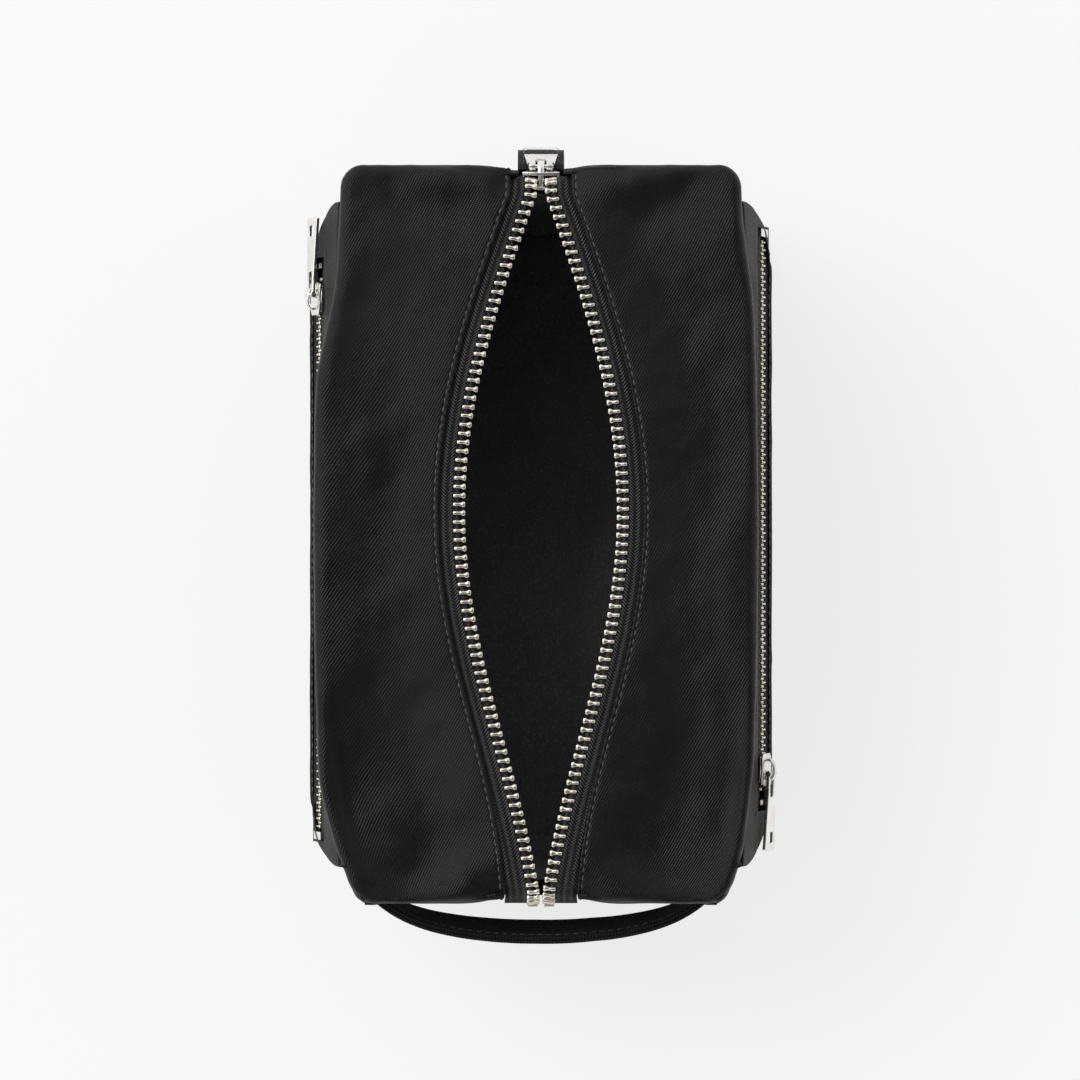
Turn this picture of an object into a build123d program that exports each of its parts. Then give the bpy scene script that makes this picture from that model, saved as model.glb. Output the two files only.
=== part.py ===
"""Box-shaped toiletry bag of black nylon with a metal zip along the top.

Two side pockets with metal zips, a strap handle on the near end and a pull tab on the far end.
Frame in mm: origin at the middle of the base, +Z up, +Y to the far end, +X to the right.
"""
import math
import os

from build123d import *

# overall size
HALF_LENGTH = 113.2  # middle to the outer face of an end panel
HALF_WIDTH_MID = 64.4  # middle to a side wall at mid-length ...
HALF_WIDTH_END = HALF_WIDTH_MID - 3.4  # ... where the side walls bow out most
HEIGHT = 125.0
CORNER = 7.0  # plan radius of the vertical corners

# layers of the walls and base
FABRIC = 1.0
FOAM = 2.5
LINING = 0.5
TOP_FABRIC = 1.2
BASE_FABRIC = 1.2
BOARD = 2.0
BASE_LINING = 0.6

# main zip: the chain runs over the far edge, along the top and over the near edge
TAPE = 0.6
ZIP_TOP = HEIGHT - TOP_FABRIC - TAPE / 2  # chain mid-plane along the top
TOOTH_LENGTH = 3.6
TOOTH_WIDTH = 1.2  # along the chain
TOOTH_HEIGHT = 2.5
TOOTH_PITCH = 2.7
TOOTH_GRIP = 1.6  # how far the tape goes into a tooth
SLOT_FIT = 0.15  # tape edge to the bottom of a tooth's slot
SLOT_SLACK = 0.24  # a slot is this much wider than its tape, for the bends
INTERLOCK = 0.75  # how far a closed tooth tip crosses the middle
MOUTH = 23.1  # tooth tips to the middle, where the mouth is widest
MOUTH_WIDEST_Y = 7.0
MOUTH_FAR_Y = HALF_LENGTH - 9.2
MOUTH_NEAR_Y = 1.2 - HALF_LENGTH
VISIBLE_TAPE = 4.5
TAPE_UNDER_HEM = 3.0
FAR_BEND_Y = HALF_LENGTH - 9.3  # where the chain starts to bend down
FAR_BEND_R = 4.5
NEAR_BEND_Y = 8.7 - HALF_LENGTH
NEAR_BEND_R = 8.0
END_SLOPE = 80.0  # degrees, how steep the chain runs down an end
FAR_DROP = 20.4
NEAR_DROP = 12.0
FAR_NOTCH = 26.0  # how far down the end panels are open for the zip
NEAR_NOTCH = 20.5
NOTCH_CLEAR = 0.2
ZIP_ROOM = 3.0  # padding stops this far below the top panels

# main slider, in its own frame: nose to -Y, chain mid-plane at z = 0
SLIDER_HALF = 6.0
SLIDER_NOSE_HALF_WIDTH = 5.8
SLIDER_TAIL_HALF_WIDTH = 4.3
SLIDER_GAP = 3.4
SLIDER_WING = 1.0
DIVIDER_HALF_WIDTH = 0.8
NOSE_OPENING = 1.1  # tooth tips to the middle at the nose
SLIDER_AT = 6.5  # slider centre, down the far slope from the end of the bend
PIN_FORWARD = 1.5  # pull pin, from the slider centre towards the nose
PIN_ABOVE = 4.2  # and above the chain mid-plane
PIN_RADIUS = 0.6
PIN_FIT = 0.12
PULLER_LENGTH = 22.0
PULLER_THICK = 1.2
PULLER_SLOPE = 70.0
TAB_WIDTH = 14.4
TAB_THICK = 1.4
TAB_CLEAR = 0.35  # tab to puller
TAB_TOP = HEIGHT - 16.0
TAB_SEWN = HEIGHT - 28.5  # lower edge of the part that is sewn to the end panel
TAB_END = HEIGHT - 33.0

# handle
HANDLE_SPAN = HALF_WIDTH_END - 11  # half the distance between its feet
HANDLE_BOW = 10.6  # how far its inner face stands off the end panel
HANDLE_WIDTH = 22.0
HANDLE_LAYER = 1.2
HANDLE_TOP = HEIGHT - 22.0
FOOT_LENGTH = 7.0

# side pockets, described for the right-hand one
POCKET_HALF_LENGTH = HALF_LENGTH - 11.2
POCKET_OUT = HALF_WIDTH_MID + 7.8  # outer face from the middle of the bag
POCKET_CORNER = 9.0
POCKET_WALL = 1.0
POCKET_BOTTOM = 8.0
POCKET_TOP = HEIGHT - 28
POCKET_CHAIN_X = HALF_WIDTH_MID + 4.2
POCKET_CHAIN_Z = HEIGHT - 21.5
POCKET_SLOPE = 65.0  # degrees, how steep the pocket's zip lies
POCKET_CHAIN_FAR = HALF_LENGTH - 19.2
POCKET_CHAIN_NEAR = 29.2 - HALF_LENGTH
SMALL_TOOTH_LENGTH = 2.6
SMALL_TOOTH_WIDTH = 0.95
SMALL_TOOTH_HEIGHT = 1.8
SMALL_TOOTH_PITCH = 2.45
SMALL_TOOTH_GRIP = 1.1
SMALL_INTERLOCK = 0.5
SMALL_TAPE = 0.5
SMALL_TAPE_EDGE = 5.9  # middle to the outer edge of a pocket tape
SMALL_PIN_FORWARD = 1.5
SMALL_PIN_ABOVE = 3.3
SMALL_PIN_RADIUS = 0.6
POCKET_SLOT = 5.0  # half-width of the gap in the facing
POCKET_SLIDER_Y = POCKET_CHAIN_NEAR + 11
FACING_RISE = 18.0  # chain to the facing's edge at the bag, up the slope
FACING_FALL = 7.2


def outline(inset, mid=HALF_WIDTH_MID, end=HALF_WIDTH_END, length=HALF_LENGTH, corner=CORNER):
    """Plan of the bag, drawn in by `inset` all round."""
    x_mid = mid - inset
    x_end = end - inset
    y_end = length - inset
    with BuildSketch() as plan:
        with BuildLine():
            Line((-x_end, y_end), (x_end, y_end))
            ThreePointArc((x_end, y_end), (x_mid, 0), (x_end, -y_end))
            Line((x_end, -y_end), (-x_end, -y_end))
            ThreePointArc((-x_end, -y_end), (-x_mid, 0), (-x_end, y_end))
        make_face()
        fillet(plan.vertices(), corner - inset)
    return plan.sketch


def prism(plan, z_low, z_high):
    """Upright prism on a plan."""
    return Pos(0, 0, z_low) * extrude(plan, amount=z_high - z_low)


def wall(outer, inner, z_low, z_high):
    """Four-sided wall between two insets of the outline."""
    return prism(outline(outer), z_low, z_high) - prism(outline(inner), z_low, z_high)


def block(x0, x1, y0, y1, z0, z1):
    """Box between two corners."""
    return Pos((x0 + x1) / 2, (y0 + y1) / 2, (z0 + z1) / 2) * Box(x1 - x0, y1 - y0, z1 - z0)


def opening_at(y):
    """Half the mouth, middle to tooth tips, at a place along the top."""
    if y >= MOUTH_FAR_Y:
        return NOSE_OPENING
    if y >= MOUTH_WIDEST_Y:
        u = (MOUTH_FAR_Y - y) / (MOUTH_FAR_Y - MOUTH_WIDEST_Y)
        return NOSE_OPENING + (MOUTH - NOSE_OPENING) * math.sin(math.pi * u / 2)
    v = max(0.0, (y - MOUTH_NEAR_Y) / (MOUTH_WIDEST_Y - MOUTH_NEAR_Y))
    ease = (math.sin(math.pi * v / 2) + (1 - math.cos(math.pi * v)) / 2) / 2
    return max(0.45, MOUTH * ease)


def hem_at(y):
    """Half the gap between the hems of the top panels."""
    near_extra = 2.5 * max(0.0, (-y - 60) / 50) ** 2
    return opening_at(y) + TOOTH_LENGTH + VISIBLE_TAPE + min(near_extra, 3.0)


def chain_point(s):
    """Place and tangent angle of the main chain, s from the far bend along the top.

    s is negative down the far slope. The angle is how far the chain has tipped from level.
    """
    slope = math.radians(END_SLOPE)
    far_arc = FAR_BEND_R * slope
    top = FAR_BEND_Y - NEAR_BEND_Y
    near_arc = NEAR_BEND_R * slope
    if s < -far_arc:
        y0 = FAR_BEND_Y + FAR_BEND_R * math.sin(slope)
        z0 = ZIP_TOP - FAR_BEND_R * (1 - math.cos(slope))
        d = -far_arc - s
        return y0 + d * math.cos(slope), z0 - d * math.sin(slope), slope
    if s < 0:
        a = -s / FAR_BEND_R
        return FAR_BEND_Y + FAR_BEND_R * math.sin(a), ZIP_TOP - FAR_BEND_R * (1 - math.cos(a)), a
    if s <= top:
        return FAR_BEND_Y - s, ZIP_TOP, 0.0
    if s < top + near_arc:
        a = (s - top) / NEAR_BEND_R
        return NEAR_BEND_Y - NEAR_BEND_R * math.sin(a), ZIP_TOP - NEAR_BEND_R * (1 - math.cos(a)), -a
    y0 = NEAR_BEND_Y - NEAR_BEND_R * math.sin(slope)
    z0 = ZIP_TOP - NEAR_BEND_R * (1 - math.cos(slope))
    d = s - top - near_arc
    return y0 - d * math.cos(slope), z0 - d * math.sin(slope), -slope


FAR_START = -FAR_BEND_R * math.radians(END_SLOPE) - FAR_DROP
NEAR_END = (
    FAR_BEND_Y - NEAR_BEND_Y + NEAR_BEND_R * math.radians(END_SLOPE) + NEAR_DROP
)
SLIDER_S = -FAR_BEND_R * math.radians(END_SLOPE) - SLIDER_AT


def tips_at(s):
    """Middle to tooth tips at s: closed below the slider, parting inside it, then the mouth."""
    ahead = s - SLIDER_S
    if ahead < -2:
        return -INTERLOCK
    if ahead < 4:
        return -INTERLOCK + (NOSE_OPENING + INTERLOCK) * (ahead + 2) / 6
    return opening_at(chain_point(s)[0])


def chain_place(s, x, up=0.0, turn=0.0):
    """Location on the chain: local +Y runs back along it, +Z stands out of it."""
    y, z, tip = chain_point(s)
    at = Location((x, y + up * math.sin(tip), z + up * math.cos(tip)), (-math.degrees(tip), 0, 0))
    return at * Rot(0, 0, turn)


def ribbon(stations, inner, outer, low, high):
    """Band along the chain between two sideways offsets and two heights off its mid-plane."""
    sections = []
    for s in stations:
        a, b = inner(s), outer(s)
        corners = [(a, low), (b, low), (b, high), (a, high)]
        points = [(chain_place(s, x, h)).position for x, h in corners]
        sections.append(Face(Wire.make_polygon(points, close=True)))
    return Solid.make_loft([f.outer_wire() for f in sections], ruled=True)


def chain_stations():
    """Places along the chain where its bands change shape."""
    bend_steps = 10
    far_arc = FAR_BEND_R * math.radians(END_SLOPE)
    near_arc = NEAR_BEND_R * math.radians(END_SLOPE)
    top = FAR_BEND_Y - NEAR_BEND_Y
    places = [FAR_START, SLIDER_S - 2, SLIDER_S + 4]
    places += [-far_arc * (1 - i / bend_steps) for i in range(bend_steps)]
    places += [top * i / 24 for i in range(25)]
    places += [top + near_arc * (i + 1) / bend_steps for i in range(bend_steps)]
    return places + [NEAR_END]


def tape_edge(s):
    """Outer edge of a tape: under the hem, or just inside the notch where it leaves the near end."""
    y = chain_point(s)[0]
    if y < NEAR_BEND_Y - NEAR_BEND_R / 2:
        return hem_at(y) - NOTCH_CLEAR
    return hem_at(y) + TAPE_UNDER_HEM


def main_tape():
    """Right-hand tape, from inside the teeth to its outer edge."""
    root = TOOTH_LENGTH - TOOTH_GRIP
    return ribbon(chain_stations(), lambda s: tips_at(s) + root, tape_edge, -TAPE / 2, TAPE / 2)


def tooth(length, width, height, grip, slot):
    """One tooth, tip at x = 0, root at x = length, slotted for the tape."""
    body = block(0, length, -width / 2, width / 2, -height / 2, height / 2)
    return body - block(length - grip - SLOT_FIT, length + 1, -width, width, -slot / 2, slot / 2)


def main_teeth(phase):
    """Right-hand row of the main zip."""
    one = tooth(TOOTH_LENGTH, TOOTH_WIDTH, TOOTH_HEIGHT, TOOTH_GRIP, TAPE + SLOT_SLACK)
    count = int((NEAR_END - FAR_START - 6) / TOOTH_PITCH)
    row = []
    for i in range(count):
        s = FAR_START + 4 + (i + phase) * TOOTH_PITCH
        step = 0.5
        dx = tips_at(s + step) - tips_at(s - step)
        turn = math.degrees(math.atan2(dx, 2 * step))
        row.append(chain_place(s, tips_at(s), 0, -turn if s > 0 else 0) * one)
    return Compound(children=row)


def mirror_x(shape):
    """The same thing on the left."""
    return mirror(shape, about=Plane.YZ)


def notch(extra):
    """Gap in the end walls that lets the zip come over the edge."""
    far_half = hem_at(HALF_LENGTH) + extra
    near_half = hem_at(-HALF_LENGTH) + extra
    far_low = HEIGHT - FAR_NOTCH - extra
    near_low = HEIGHT - NEAR_NOTCH - extra
    out, depth = HALF_LENGTH + 5, HALF_LENGTH - 14
    far = block(-far_half, far_half, depth, out, far_low, HEIGHT + 1)
    near = block(-near_half, near_half, -out, -depth, near_low, HEIGHT + 1)
    return far + near


def quarter(ring, side):
    """One side of a four-sided wall: 'left', 'right', 'far' or 'near'."""
    cut = HALF_LENGTH - CORNER
    big = 200
    if side == "left":
        return ring & block(-big, 0, -cut, cut, -big, big)
    if side == "right":
        return ring & block(0, big, -cut, cut, -big, big)
    if side == "far":
        return ring & block(-big, big, cut, big, -big, big)
    return ring & block(-big, big, -big, -cut, -big, big)


def mouth_gap(z_low, z_high):
    """Prism of the gap between the hems."""
    steps = 30
    ys = [HALF_LENGTH + 2 - (2 * HALF_LENGTH + 4) * i / steps for i in range(steps + 1)]
    right = [(hem_at(y), y) for y in ys]
    left = [(-x, y) for x, y in reversed(right)]
    with BuildSketch() as plan:
        with BuildLine():
            Spline(*right)
            Line(right[-1], left[0])
            Spline(*left)
            Line(left[-1], right[0])
        make_face()
    return prism(plan.sketch, z_low, z_high)


def top_panel():
    """Right-hand half of the top, with the hem that follows the zip."""
    z0 = HEIGHT - TOP_FABRIC
    sheet = prism(outline(0), z0, HEIGHT) - mouth_gap(z0 - 1, HEIGHT + 1)
    return sheet & block(0, 200, -200, 200, 0, 200)


def slider(nose, tail, half, rim, gap, wing, divider, slit, crown, crown_width, pin):
    """Two wings joined by the divider, flanges at the sides and a crown on top.

    Nose to -Y and chain mid-plane at z = 0. `pin` is (forward, above, hole radius).
    """
    forward, above, hole = pin
    shoulder = -half + 0.6 * half
    plan = Polygon((-nose, -half), (nose, -half), (nose, shoulder), (tail, half), (-tail, half),
                   (-nose, shoulder), align=None)
    plan = fillet(plan.vertices(), 1.0)
    channel = Polygon((-nose + rim, -half - 1), (nose - rim, -half - 1), (nose - rim, shoulder),
                      (tail - rim, half * 0.3), (tail - rim, half + 1), (-tail + rim, half + 1),
                      (-tail + rim, half * 0.3), (-nose + rim, shoulder), align=None)
    top = gap / 2 + wing
    body = prism(plan, -top, top) - prism(channel, -gap / 2, gap / 2)
    body -= block(-nose - 1, nose + 1, -half - 1, half + 1, -slit / 2, slit / 2)
    wedge = Polygon((-divider, -half), (divider, -half), (0.3, shoulder), (-0.3, shoulder), align=None)
    body += prism(wedge, -top, top)
    side = Polygon((-half + 0.8, top - 0.2), (half - 1.2, top - 0.2), (half - 2.4, crown - 0.9),
                   (1.0, crown), (-half + 2.0, crown - 0.4), align=None)
    body += Plane.YZ * extrude(side, amount=crown_width / 2, both=True)
    return body - Pos(0, -forward, above) * Rot(0, 90, 0) * Cylinder(hole, 30)


def main_slider():
    """Slider of the main zip."""
    return slider(SLIDER_NOSE_HALF_WIDTH, SLIDER_TAIL_HALF_WIDTH, SLIDER_HALF, 0.7, SLIDER_GAP,
                  SLIDER_WING, DIVIDER_HALF_WIDTH, 1.2, PIN_ABOVE + 1.7, 2.4,
                  (PIN_FORWARD, PIN_ABOVE, PIN_RADIUS + PIN_FIT))


def slider_pin():
    """Pin that the pull turns on."""
    return Pos(0, -PIN_FORWARD, PIN_ABOVE) * Rot(0, 90, 0) * Cylinder(PIN_RADIUS, 7.6)


def puller(length, narrow, wide, thick, ear_x, ear_width, ear_radius, hole_radius, slot_x, slot_y):
    """Tapering pull plate hanging back along +Y from a pin at the origin."""
    start = 2.4
    plate = Polygon((-narrow / 2, start), (narrow / 2, start), (wide / 2, length),
                    (-wide / 2, length), align=None)
    plate = fillet(plate.vertices(), min(1.6, narrow / 5))
    slot = Pos(0, length - slot_y / 2 - 2.4) * Rectangle(slot_x, slot_y)
    body = prism(plate - slot, -thick / 2, thick / 2)
    clear = ear_x - ear_width / 2
    body -= block(-clear, clear, -1, start + 4.8, -3, 3)
    for side in (-1, 1):
        ear = Pos(side * ear_x, 0, 0) * Rot(0, 90, 0) * Cylinder(ear_radius, ear_width)
        arm = block(side * ear_x - ear_width / 2, side * ear_x + ear_width / 2, 0, start + 2,
                    -thick / 2, thick / 2)
        body += ear + arm
    return body - Rot(0, 90, 0) * Cylinder(hole_radius, 30)


def far_tab():
    """Fabric tab over the lower end of the zip, standing off the far end under the puller."""
    y_pin, z_pin = pin_place()
    lean = math.tan(math.radians(90 - PULLER_SLOPE))
    face = HALF_LENGTH

    def under_puller(z):
        """Outer face of the tab at a height."""
        return y_pin - PULLER_THICK / 2 / math.cos(math.atan(lean)) - TAB_CLEAR + lean * (z_pin - z)

    side = Polygon((face, TAB_TOP), (max(under_puller(TAB_TOP), face + 0.4), TAB_TOP),
                   (under_puller(TAB_END), TAB_END), (under_puller(TAB_END) - TAB_THICK, TAB_END - 0.3),
                   (under_puller(TAB_SEWN) - TAB_THICK, TAB_SEWN), (face, TAB_SEWN), align=None)
    return Plane.YZ * extrude(side, amount=TAB_WIDTH / 2, both=True)


def pin_place():
    """Height and distance of the pull pin at rest."""
    y, z, tip = chain_point(SLIDER_S)
    return (
        y - PIN_FORWARD * math.cos(tip) + PIN_ABOVE * math.sin(tip),
        z + PIN_FORWARD * math.sin(tip) + PIN_ABOVE * math.cos(tip),
    )


def clip(half_width, along, height, slot, bridge):
    """Metal clip over both rows, slotted for the tapes on each side of a solid middle."""
    gap = block(bridge, 30, -30, 30, -slot / 2, slot / 2)
    return Box(2 * half_width, along, height) - gap - mirror_x(gap)


def main_top_stops():
    """One clip on each tape past the last teeth of the near end."""
    inner = opening_at(-HALF_LENGTH) + 0.6
    slot = block(1, 30, -30, 30, -TAPE / 2 - 0.02, TAPE / 2 + 0.02)
    right = block(0, 3.0, -1.2, 1.2, -1.4, 1.4) - slot
    return Compound(children=[
        chain_place(NEAR_END - 1.8, inner) * right,
        mirror_x(chain_place(NEAR_END - 1.8, inner) * right),
    ])


def handle_curve(stand_off):
    """Plan of one face of the handle: flat feet and a low bow between them."""
    y0 = -HALF_LENGTH - stand_off
    foot = HANDLE_SPAN + FOOT_LENGTH - 3
    rise = HANDLE_SPAN - 3
    bow = HANDLE_BOW
    with BuildLine() as curve:
        Line((-foot, y0), (-rise, y0))
        Spline((-rise, y0), (-rise * 0.72, y0 - bow * 0.72), (0, y0 - bow), (rise * 0.72, y0 - bow * 0.72),
               (rise, y0), tangents=((0.8, -0.6), (0.8, 0.6)))
        Line((rise, y0), (foot, y0))
    return curve


def handle_layer(inner, outer):
    """One layer of the strap, standing on edge."""
    near, far = handle_curve(inner), handle_curve(outer)
    ends = []
    for side in (-1, 1):
        x = side * (HANDLE_SPAN + FOOT_LENGTH - 3)
        ends.append(Line((x, -HALF_LENGTH - inner), (x, -HALF_LENGTH - outer)))
    plan = make_face(near.edges() + far.edges() + ends)
    return prism(plan, HANDLE_TOP - HANDLE_WIDTH, HANDLE_TOP)


def pocket_plan(inset):
    """Plan of the right-hand pocket, reaching into the bag body."""
    out = POCKET_OUT - inset
    half = POCKET_HALF_LENGTH - inset
    shape = Pos(out - 20, 0) * Rectangle(40, 2 * half)
    corners = shape.vertices().filter_by(lambda v: v.X > out - 1)
    return fillet(corners, POCKET_CORNER - inset)


def body_core():
    """Solid the pockets are cut back from."""
    return prism(outline(0), -1, HEIGHT + 20)


def pocket_panel():
    """Bulging outer wall and floor of the pocket."""
    outer = prism(pocket_plan(0), POCKET_BOTTOM, POCKET_TOP)
    inner = prism(pocket_plan(POCKET_WALL), POCKET_BOTTOM + POCKET_WALL, POCKET_TOP + 1)
    return outer - inner - body_core()


def on_slope(y, across=0.0, up=0.0):
    """Location on the pocket chain: local +X runs down the slope, +Z stands out of it."""
    tip = math.radians(POCKET_SLOPE)
    x = POCKET_CHAIN_X + across * math.cos(tip) + up * math.sin(tip)
    z = POCKET_CHAIN_Z - across * math.sin(tip) + up * math.cos(tip)
    return Location((x, y, z), (0, POCKET_SLOPE, 0))


def slope_block(y0, y1, a0, a1, h0, h1):
    """Box on the slope of the pocket's top."""
    return on_slope((y0 + y1) / 2) * Pos((a0 + a1) / 2, 0, (h0 + h1) / 2) * Box(
        a1 - a0, y1 - y0, h1 - h0
    )


def pocket_facing():
    """Sloping frame round the pocket's zip."""
    low = SMALL_TAPE / 2
    sheet = slope_block(-HALF_LENGTH, HALF_LENGTH, -FACING_RISE, FACING_FALL, low, low + POCKET_WALL)
    sheet &= prism(pocket_plan(0), POCKET_BOTTOM, HEIGHT)
    sheet -= slope_block(POCKET_CHAIN_NEAR - 3, POCKET_CHAIN_FAR + 3, -POCKET_SLOT, POCKET_SLOT, -5, 5)
    sheet -= block(0, 2 * POCKET_OUT, -HALF_LENGTH, HALF_LENGTH, 0, POCKET_TOP)
    return sheet - body_core()


def pocket_tips(y):
    """Middle to tooth tips of the pocket zip: closed behind the slider, parted ahead of it."""
    ahead = POCKET_SLIDER_Y - y
    if ahead < -1.5:
        return -SMALL_INTERLOCK
    if ahead < 3:
        return -SMALL_INTERLOCK + (0.8 + SMALL_INTERLOCK) * (ahead + 1.5) / 4.5
    return 0.8


def pocket_tape(side):
    """Lower (side 1) or upper (side -1) tape of the pocket zip."""
    root = SMALL_TOOTH_LENGTH - SMALL_TOOTH_GRIP
    stations = [POCKET_CHAIN_FAR + 2, POCKET_SLIDER_Y + 1.5, POCKET_SLIDER_Y - 3, POCKET_CHAIN_NEAR - 2]
    sections = []
    half = SMALL_TAPE / 2
    for y in stations:
        a, b = side * (pocket_tips(y) + root), side * SMALL_TAPE_EDGE
        corners = [(a, -half), (b, -half), (b, half), (a, half)]
        points = [on_slope(y, across, up).position for across, up in corners]
        sections.append(Wire.make_polygon(points, close=True))
    return Solid.make_loft(sections, ruled=True)


def pocket_teeth(side):
    """Lower (side 1) or upper (side -1) row of the pocket zip."""
    one = tooth(SMALL_TOOTH_LENGTH, SMALL_TOOTH_WIDTH, SMALL_TOOTH_HEIGHT, SMALL_TOOTH_GRIP,
                SMALL_TAPE + 0.04)
    if side < 0:
        one = mirror_x(one)
    phase = 0.0 if side > 0 else 0.5
    count = int((POCKET_CHAIN_FAR - POCKET_CHAIN_NEAR - 6) / SMALL_TOOTH_PITCH)
    row = []
    for i in range(count):
        y = POCKET_CHAIN_FAR - 3 - (i + phase) * SMALL_TOOTH_PITCH
        row.append(on_slope(y) * Pos(side * pocket_tips(y), 0, 0) * one)
    return Compound(children=row)


def pocket_stops():
    """Clip at the far end of the chain and one on each row at the near end."""
    thick = SMALL_TAPE + 0.04
    bottom = on_slope(POCKET_CHAIN_FAR - 0.2) * clip(2.8, 2.4, 2.4, thick, 0.9)
    slot = Box(30, 30, thick)
    near = on_slope(POCKET_CHAIN_NEAR + 0.6)
    tops = [near * Pos(side * 2.5, 0, 0) * (Box(2.2, 1.6, 2.3) - Pos(side, 0, 0) * slot)
            for side in (-1, 1)]
    return Compound(children=[bottom] + tops)


def pocket_slider():
    """Slider of the pocket zip, standing out of the slope."""
    pin = (SMALL_PIN_FORWARD, SMALL_PIN_ABOVE, SMALL_PIN_RADIUS + PIN_FIT)
    return on_slope(POCKET_SLIDER_Y) * slider(4.3, 3.5, 4.8, 0.6, 2.4, 0.8, 0.5, 1.0, 4.9, 1.8, pin)


def pocket_puller():
    """Pull of the pocket zip with its own pin, lying ahead of the slider."""
    plate = puller(24.0, 4.4, 8.2, 1.0, 2.0, 1.4, 1.0, 0.1, 4.2, 3.4)
    pin = Rot(0, 90, 0) * Cylinder(SMALL_PIN_RADIUS, 5.4)
    lying = Pos(0, -SMALL_PIN_FORWARD, SMALL_PIN_ABOVE) * Rot(2.0, 0, 0) * Rot(0, 0, 180) * (plate + pin)
    return on_slope(POCKET_SLIDER_Y) * lying


def half_turn(shape):
    """The same thing on the opposite pocket."""
    return Rot(0, 0, 180) * shape


def save(shape, node):
    """Write one node."""
    export_step(shape, f"parts/{node}.step")


def save_body():
    """Panels, foam and lining."""
    save(prism(outline(0), 0, BASE_FABRIC), "base_panel")
    board_top = BASE_FABRIC + BOARD
    save(prism(outline(FABRIC), BASE_FABRIC, board_top), "base_board")
    floor_top = board_top + BASE_LINING
    save(prism(outline(FABRIC + FOAM), board_top, floor_top), "base_lining")
    top = HEIGHT - TOP_FABRIC
    padding_top = top - ZIP_ROOM
    padding_gap = notch(TAPE_UNDER_HEM + 1)
    shell = wall(0, FABRIC, BASE_FABRIC, top) - notch(0)
    foam = wall(FABRIC, FABRIC + FOAM, board_top, padding_top) - padding_gap
    lining = wall(FABRIC + FOAM, FABRIC + FOAM + LINING, floor_top, padding_top) - padding_gap
    for side in ("left", "right", "far", "near"):
        kind = "side" if side in ("left", "right") else "end"
        save(quarter(shell, side), f"{kind}_panel_{side}")
        save(quarter(foam, side), f"foam_{side}")
        save(quarter(lining, side), f"lining_{side}")
    right = top_panel()
    save(right, "top_panel_right")
    save(mirror_x(right), "top_panel_left")


def save_main_zip():
    """Chain, stops, slider, pull and tab of the main zip."""
    tape = main_tape()
    save(tape, "main_tape_right")
    save(mirror_x(tape), "main_tape_left")
    save(main_teeth(0.0), "main_teeth_right")
    save(mirror_x(main_teeth(0.5)), "main_teeth_left")
    bottom_stop = clip(3.2, 2.2, TOOTH_HEIGHT, TAPE + 0.04, 1.0)
    save(chain_place(FAR_START + 1.8, 0) * bottom_stop, "main_bottom_stop")
    save(main_top_stops(), "main_top_stops")
    seat = chain_place(SLIDER_S, 0)
    save(seat * main_slider(), "main_slider")
    save(seat * slider_pin(), "main_slider_pin")
    plate = puller(PULLER_LENGTH, 8.5, 12.2, PULLER_THICK, 2.6, 1.8, 1.3, PIN_RADIUS + PIN_FIT, 8.9, 3.6)
    hang = Pos(0, -PIN_FORWARD, PIN_ABOVE) * Rot(END_SLOPE - PULLER_SLOPE, 0, 0)
    save(seat * hang * plate, "main_puller")
    save(far_tab(), "far_tab")


def save_handle():
    """Two layers of strap."""
    save(handle_layer(0, HANDLE_LAYER), "handle_inner")
    save(handle_layer(HANDLE_LAYER, 2 * HANDLE_LAYER), "handle_outer")


def save_pockets():
    """Both side pockets."""
    pieces = {
        "panel": pocket_panel(),
        "facing": pocket_facing(),
        "tape_lower": pocket_tape(1),
        "tape_upper": pocket_tape(-1),
        "teeth_lower": pocket_teeth(1),
        "teeth_upper": pocket_teeth(-1),
        "stops": pocket_stops(),
        "slider": pocket_slider(),
        "puller": pocket_puller(),
    }
    for name, shape in pieces.items():
        save(shape, f"pocket_{name}_right")
        save(half_turn(shape), f"pocket_{name}_left")


os.makedirs("parts", exist_ok=True)
save_body()
save_main_zip()
save_handle()
save_pockets()
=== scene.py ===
# Box-shaped toiletry bag: black twill nylon, metal zips, strap handle and pull tab.
# Shapes are worked out in millimetres and written to the meshes in metres.
import math

import bmesh
import bpy
import numpy as np
from mathutils import Matrix, Vector, noise


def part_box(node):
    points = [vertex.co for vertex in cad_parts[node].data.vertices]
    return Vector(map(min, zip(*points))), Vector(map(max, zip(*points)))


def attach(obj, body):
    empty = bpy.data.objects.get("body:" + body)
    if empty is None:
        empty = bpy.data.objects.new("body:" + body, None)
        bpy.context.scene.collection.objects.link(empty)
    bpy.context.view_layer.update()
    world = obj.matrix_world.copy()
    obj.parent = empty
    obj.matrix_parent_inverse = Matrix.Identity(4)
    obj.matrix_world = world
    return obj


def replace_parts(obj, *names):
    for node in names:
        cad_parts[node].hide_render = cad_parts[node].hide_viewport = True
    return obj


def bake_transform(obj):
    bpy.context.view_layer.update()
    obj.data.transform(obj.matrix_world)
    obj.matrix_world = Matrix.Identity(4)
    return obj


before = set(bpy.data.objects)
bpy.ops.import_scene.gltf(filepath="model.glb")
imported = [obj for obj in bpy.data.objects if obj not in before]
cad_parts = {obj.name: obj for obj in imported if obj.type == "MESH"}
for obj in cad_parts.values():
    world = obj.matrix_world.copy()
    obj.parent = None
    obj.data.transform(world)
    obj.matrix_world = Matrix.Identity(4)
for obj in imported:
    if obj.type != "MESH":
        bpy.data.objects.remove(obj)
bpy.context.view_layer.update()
print("frame loaded:", len(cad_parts), "nodes")

mm = 0.001


def low(node, axis):
    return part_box(node)[0][axis] / mm  # lowest value of a node on an axis, in mm


def high(node, axis):
    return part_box(node)[1][axis] / mm


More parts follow.
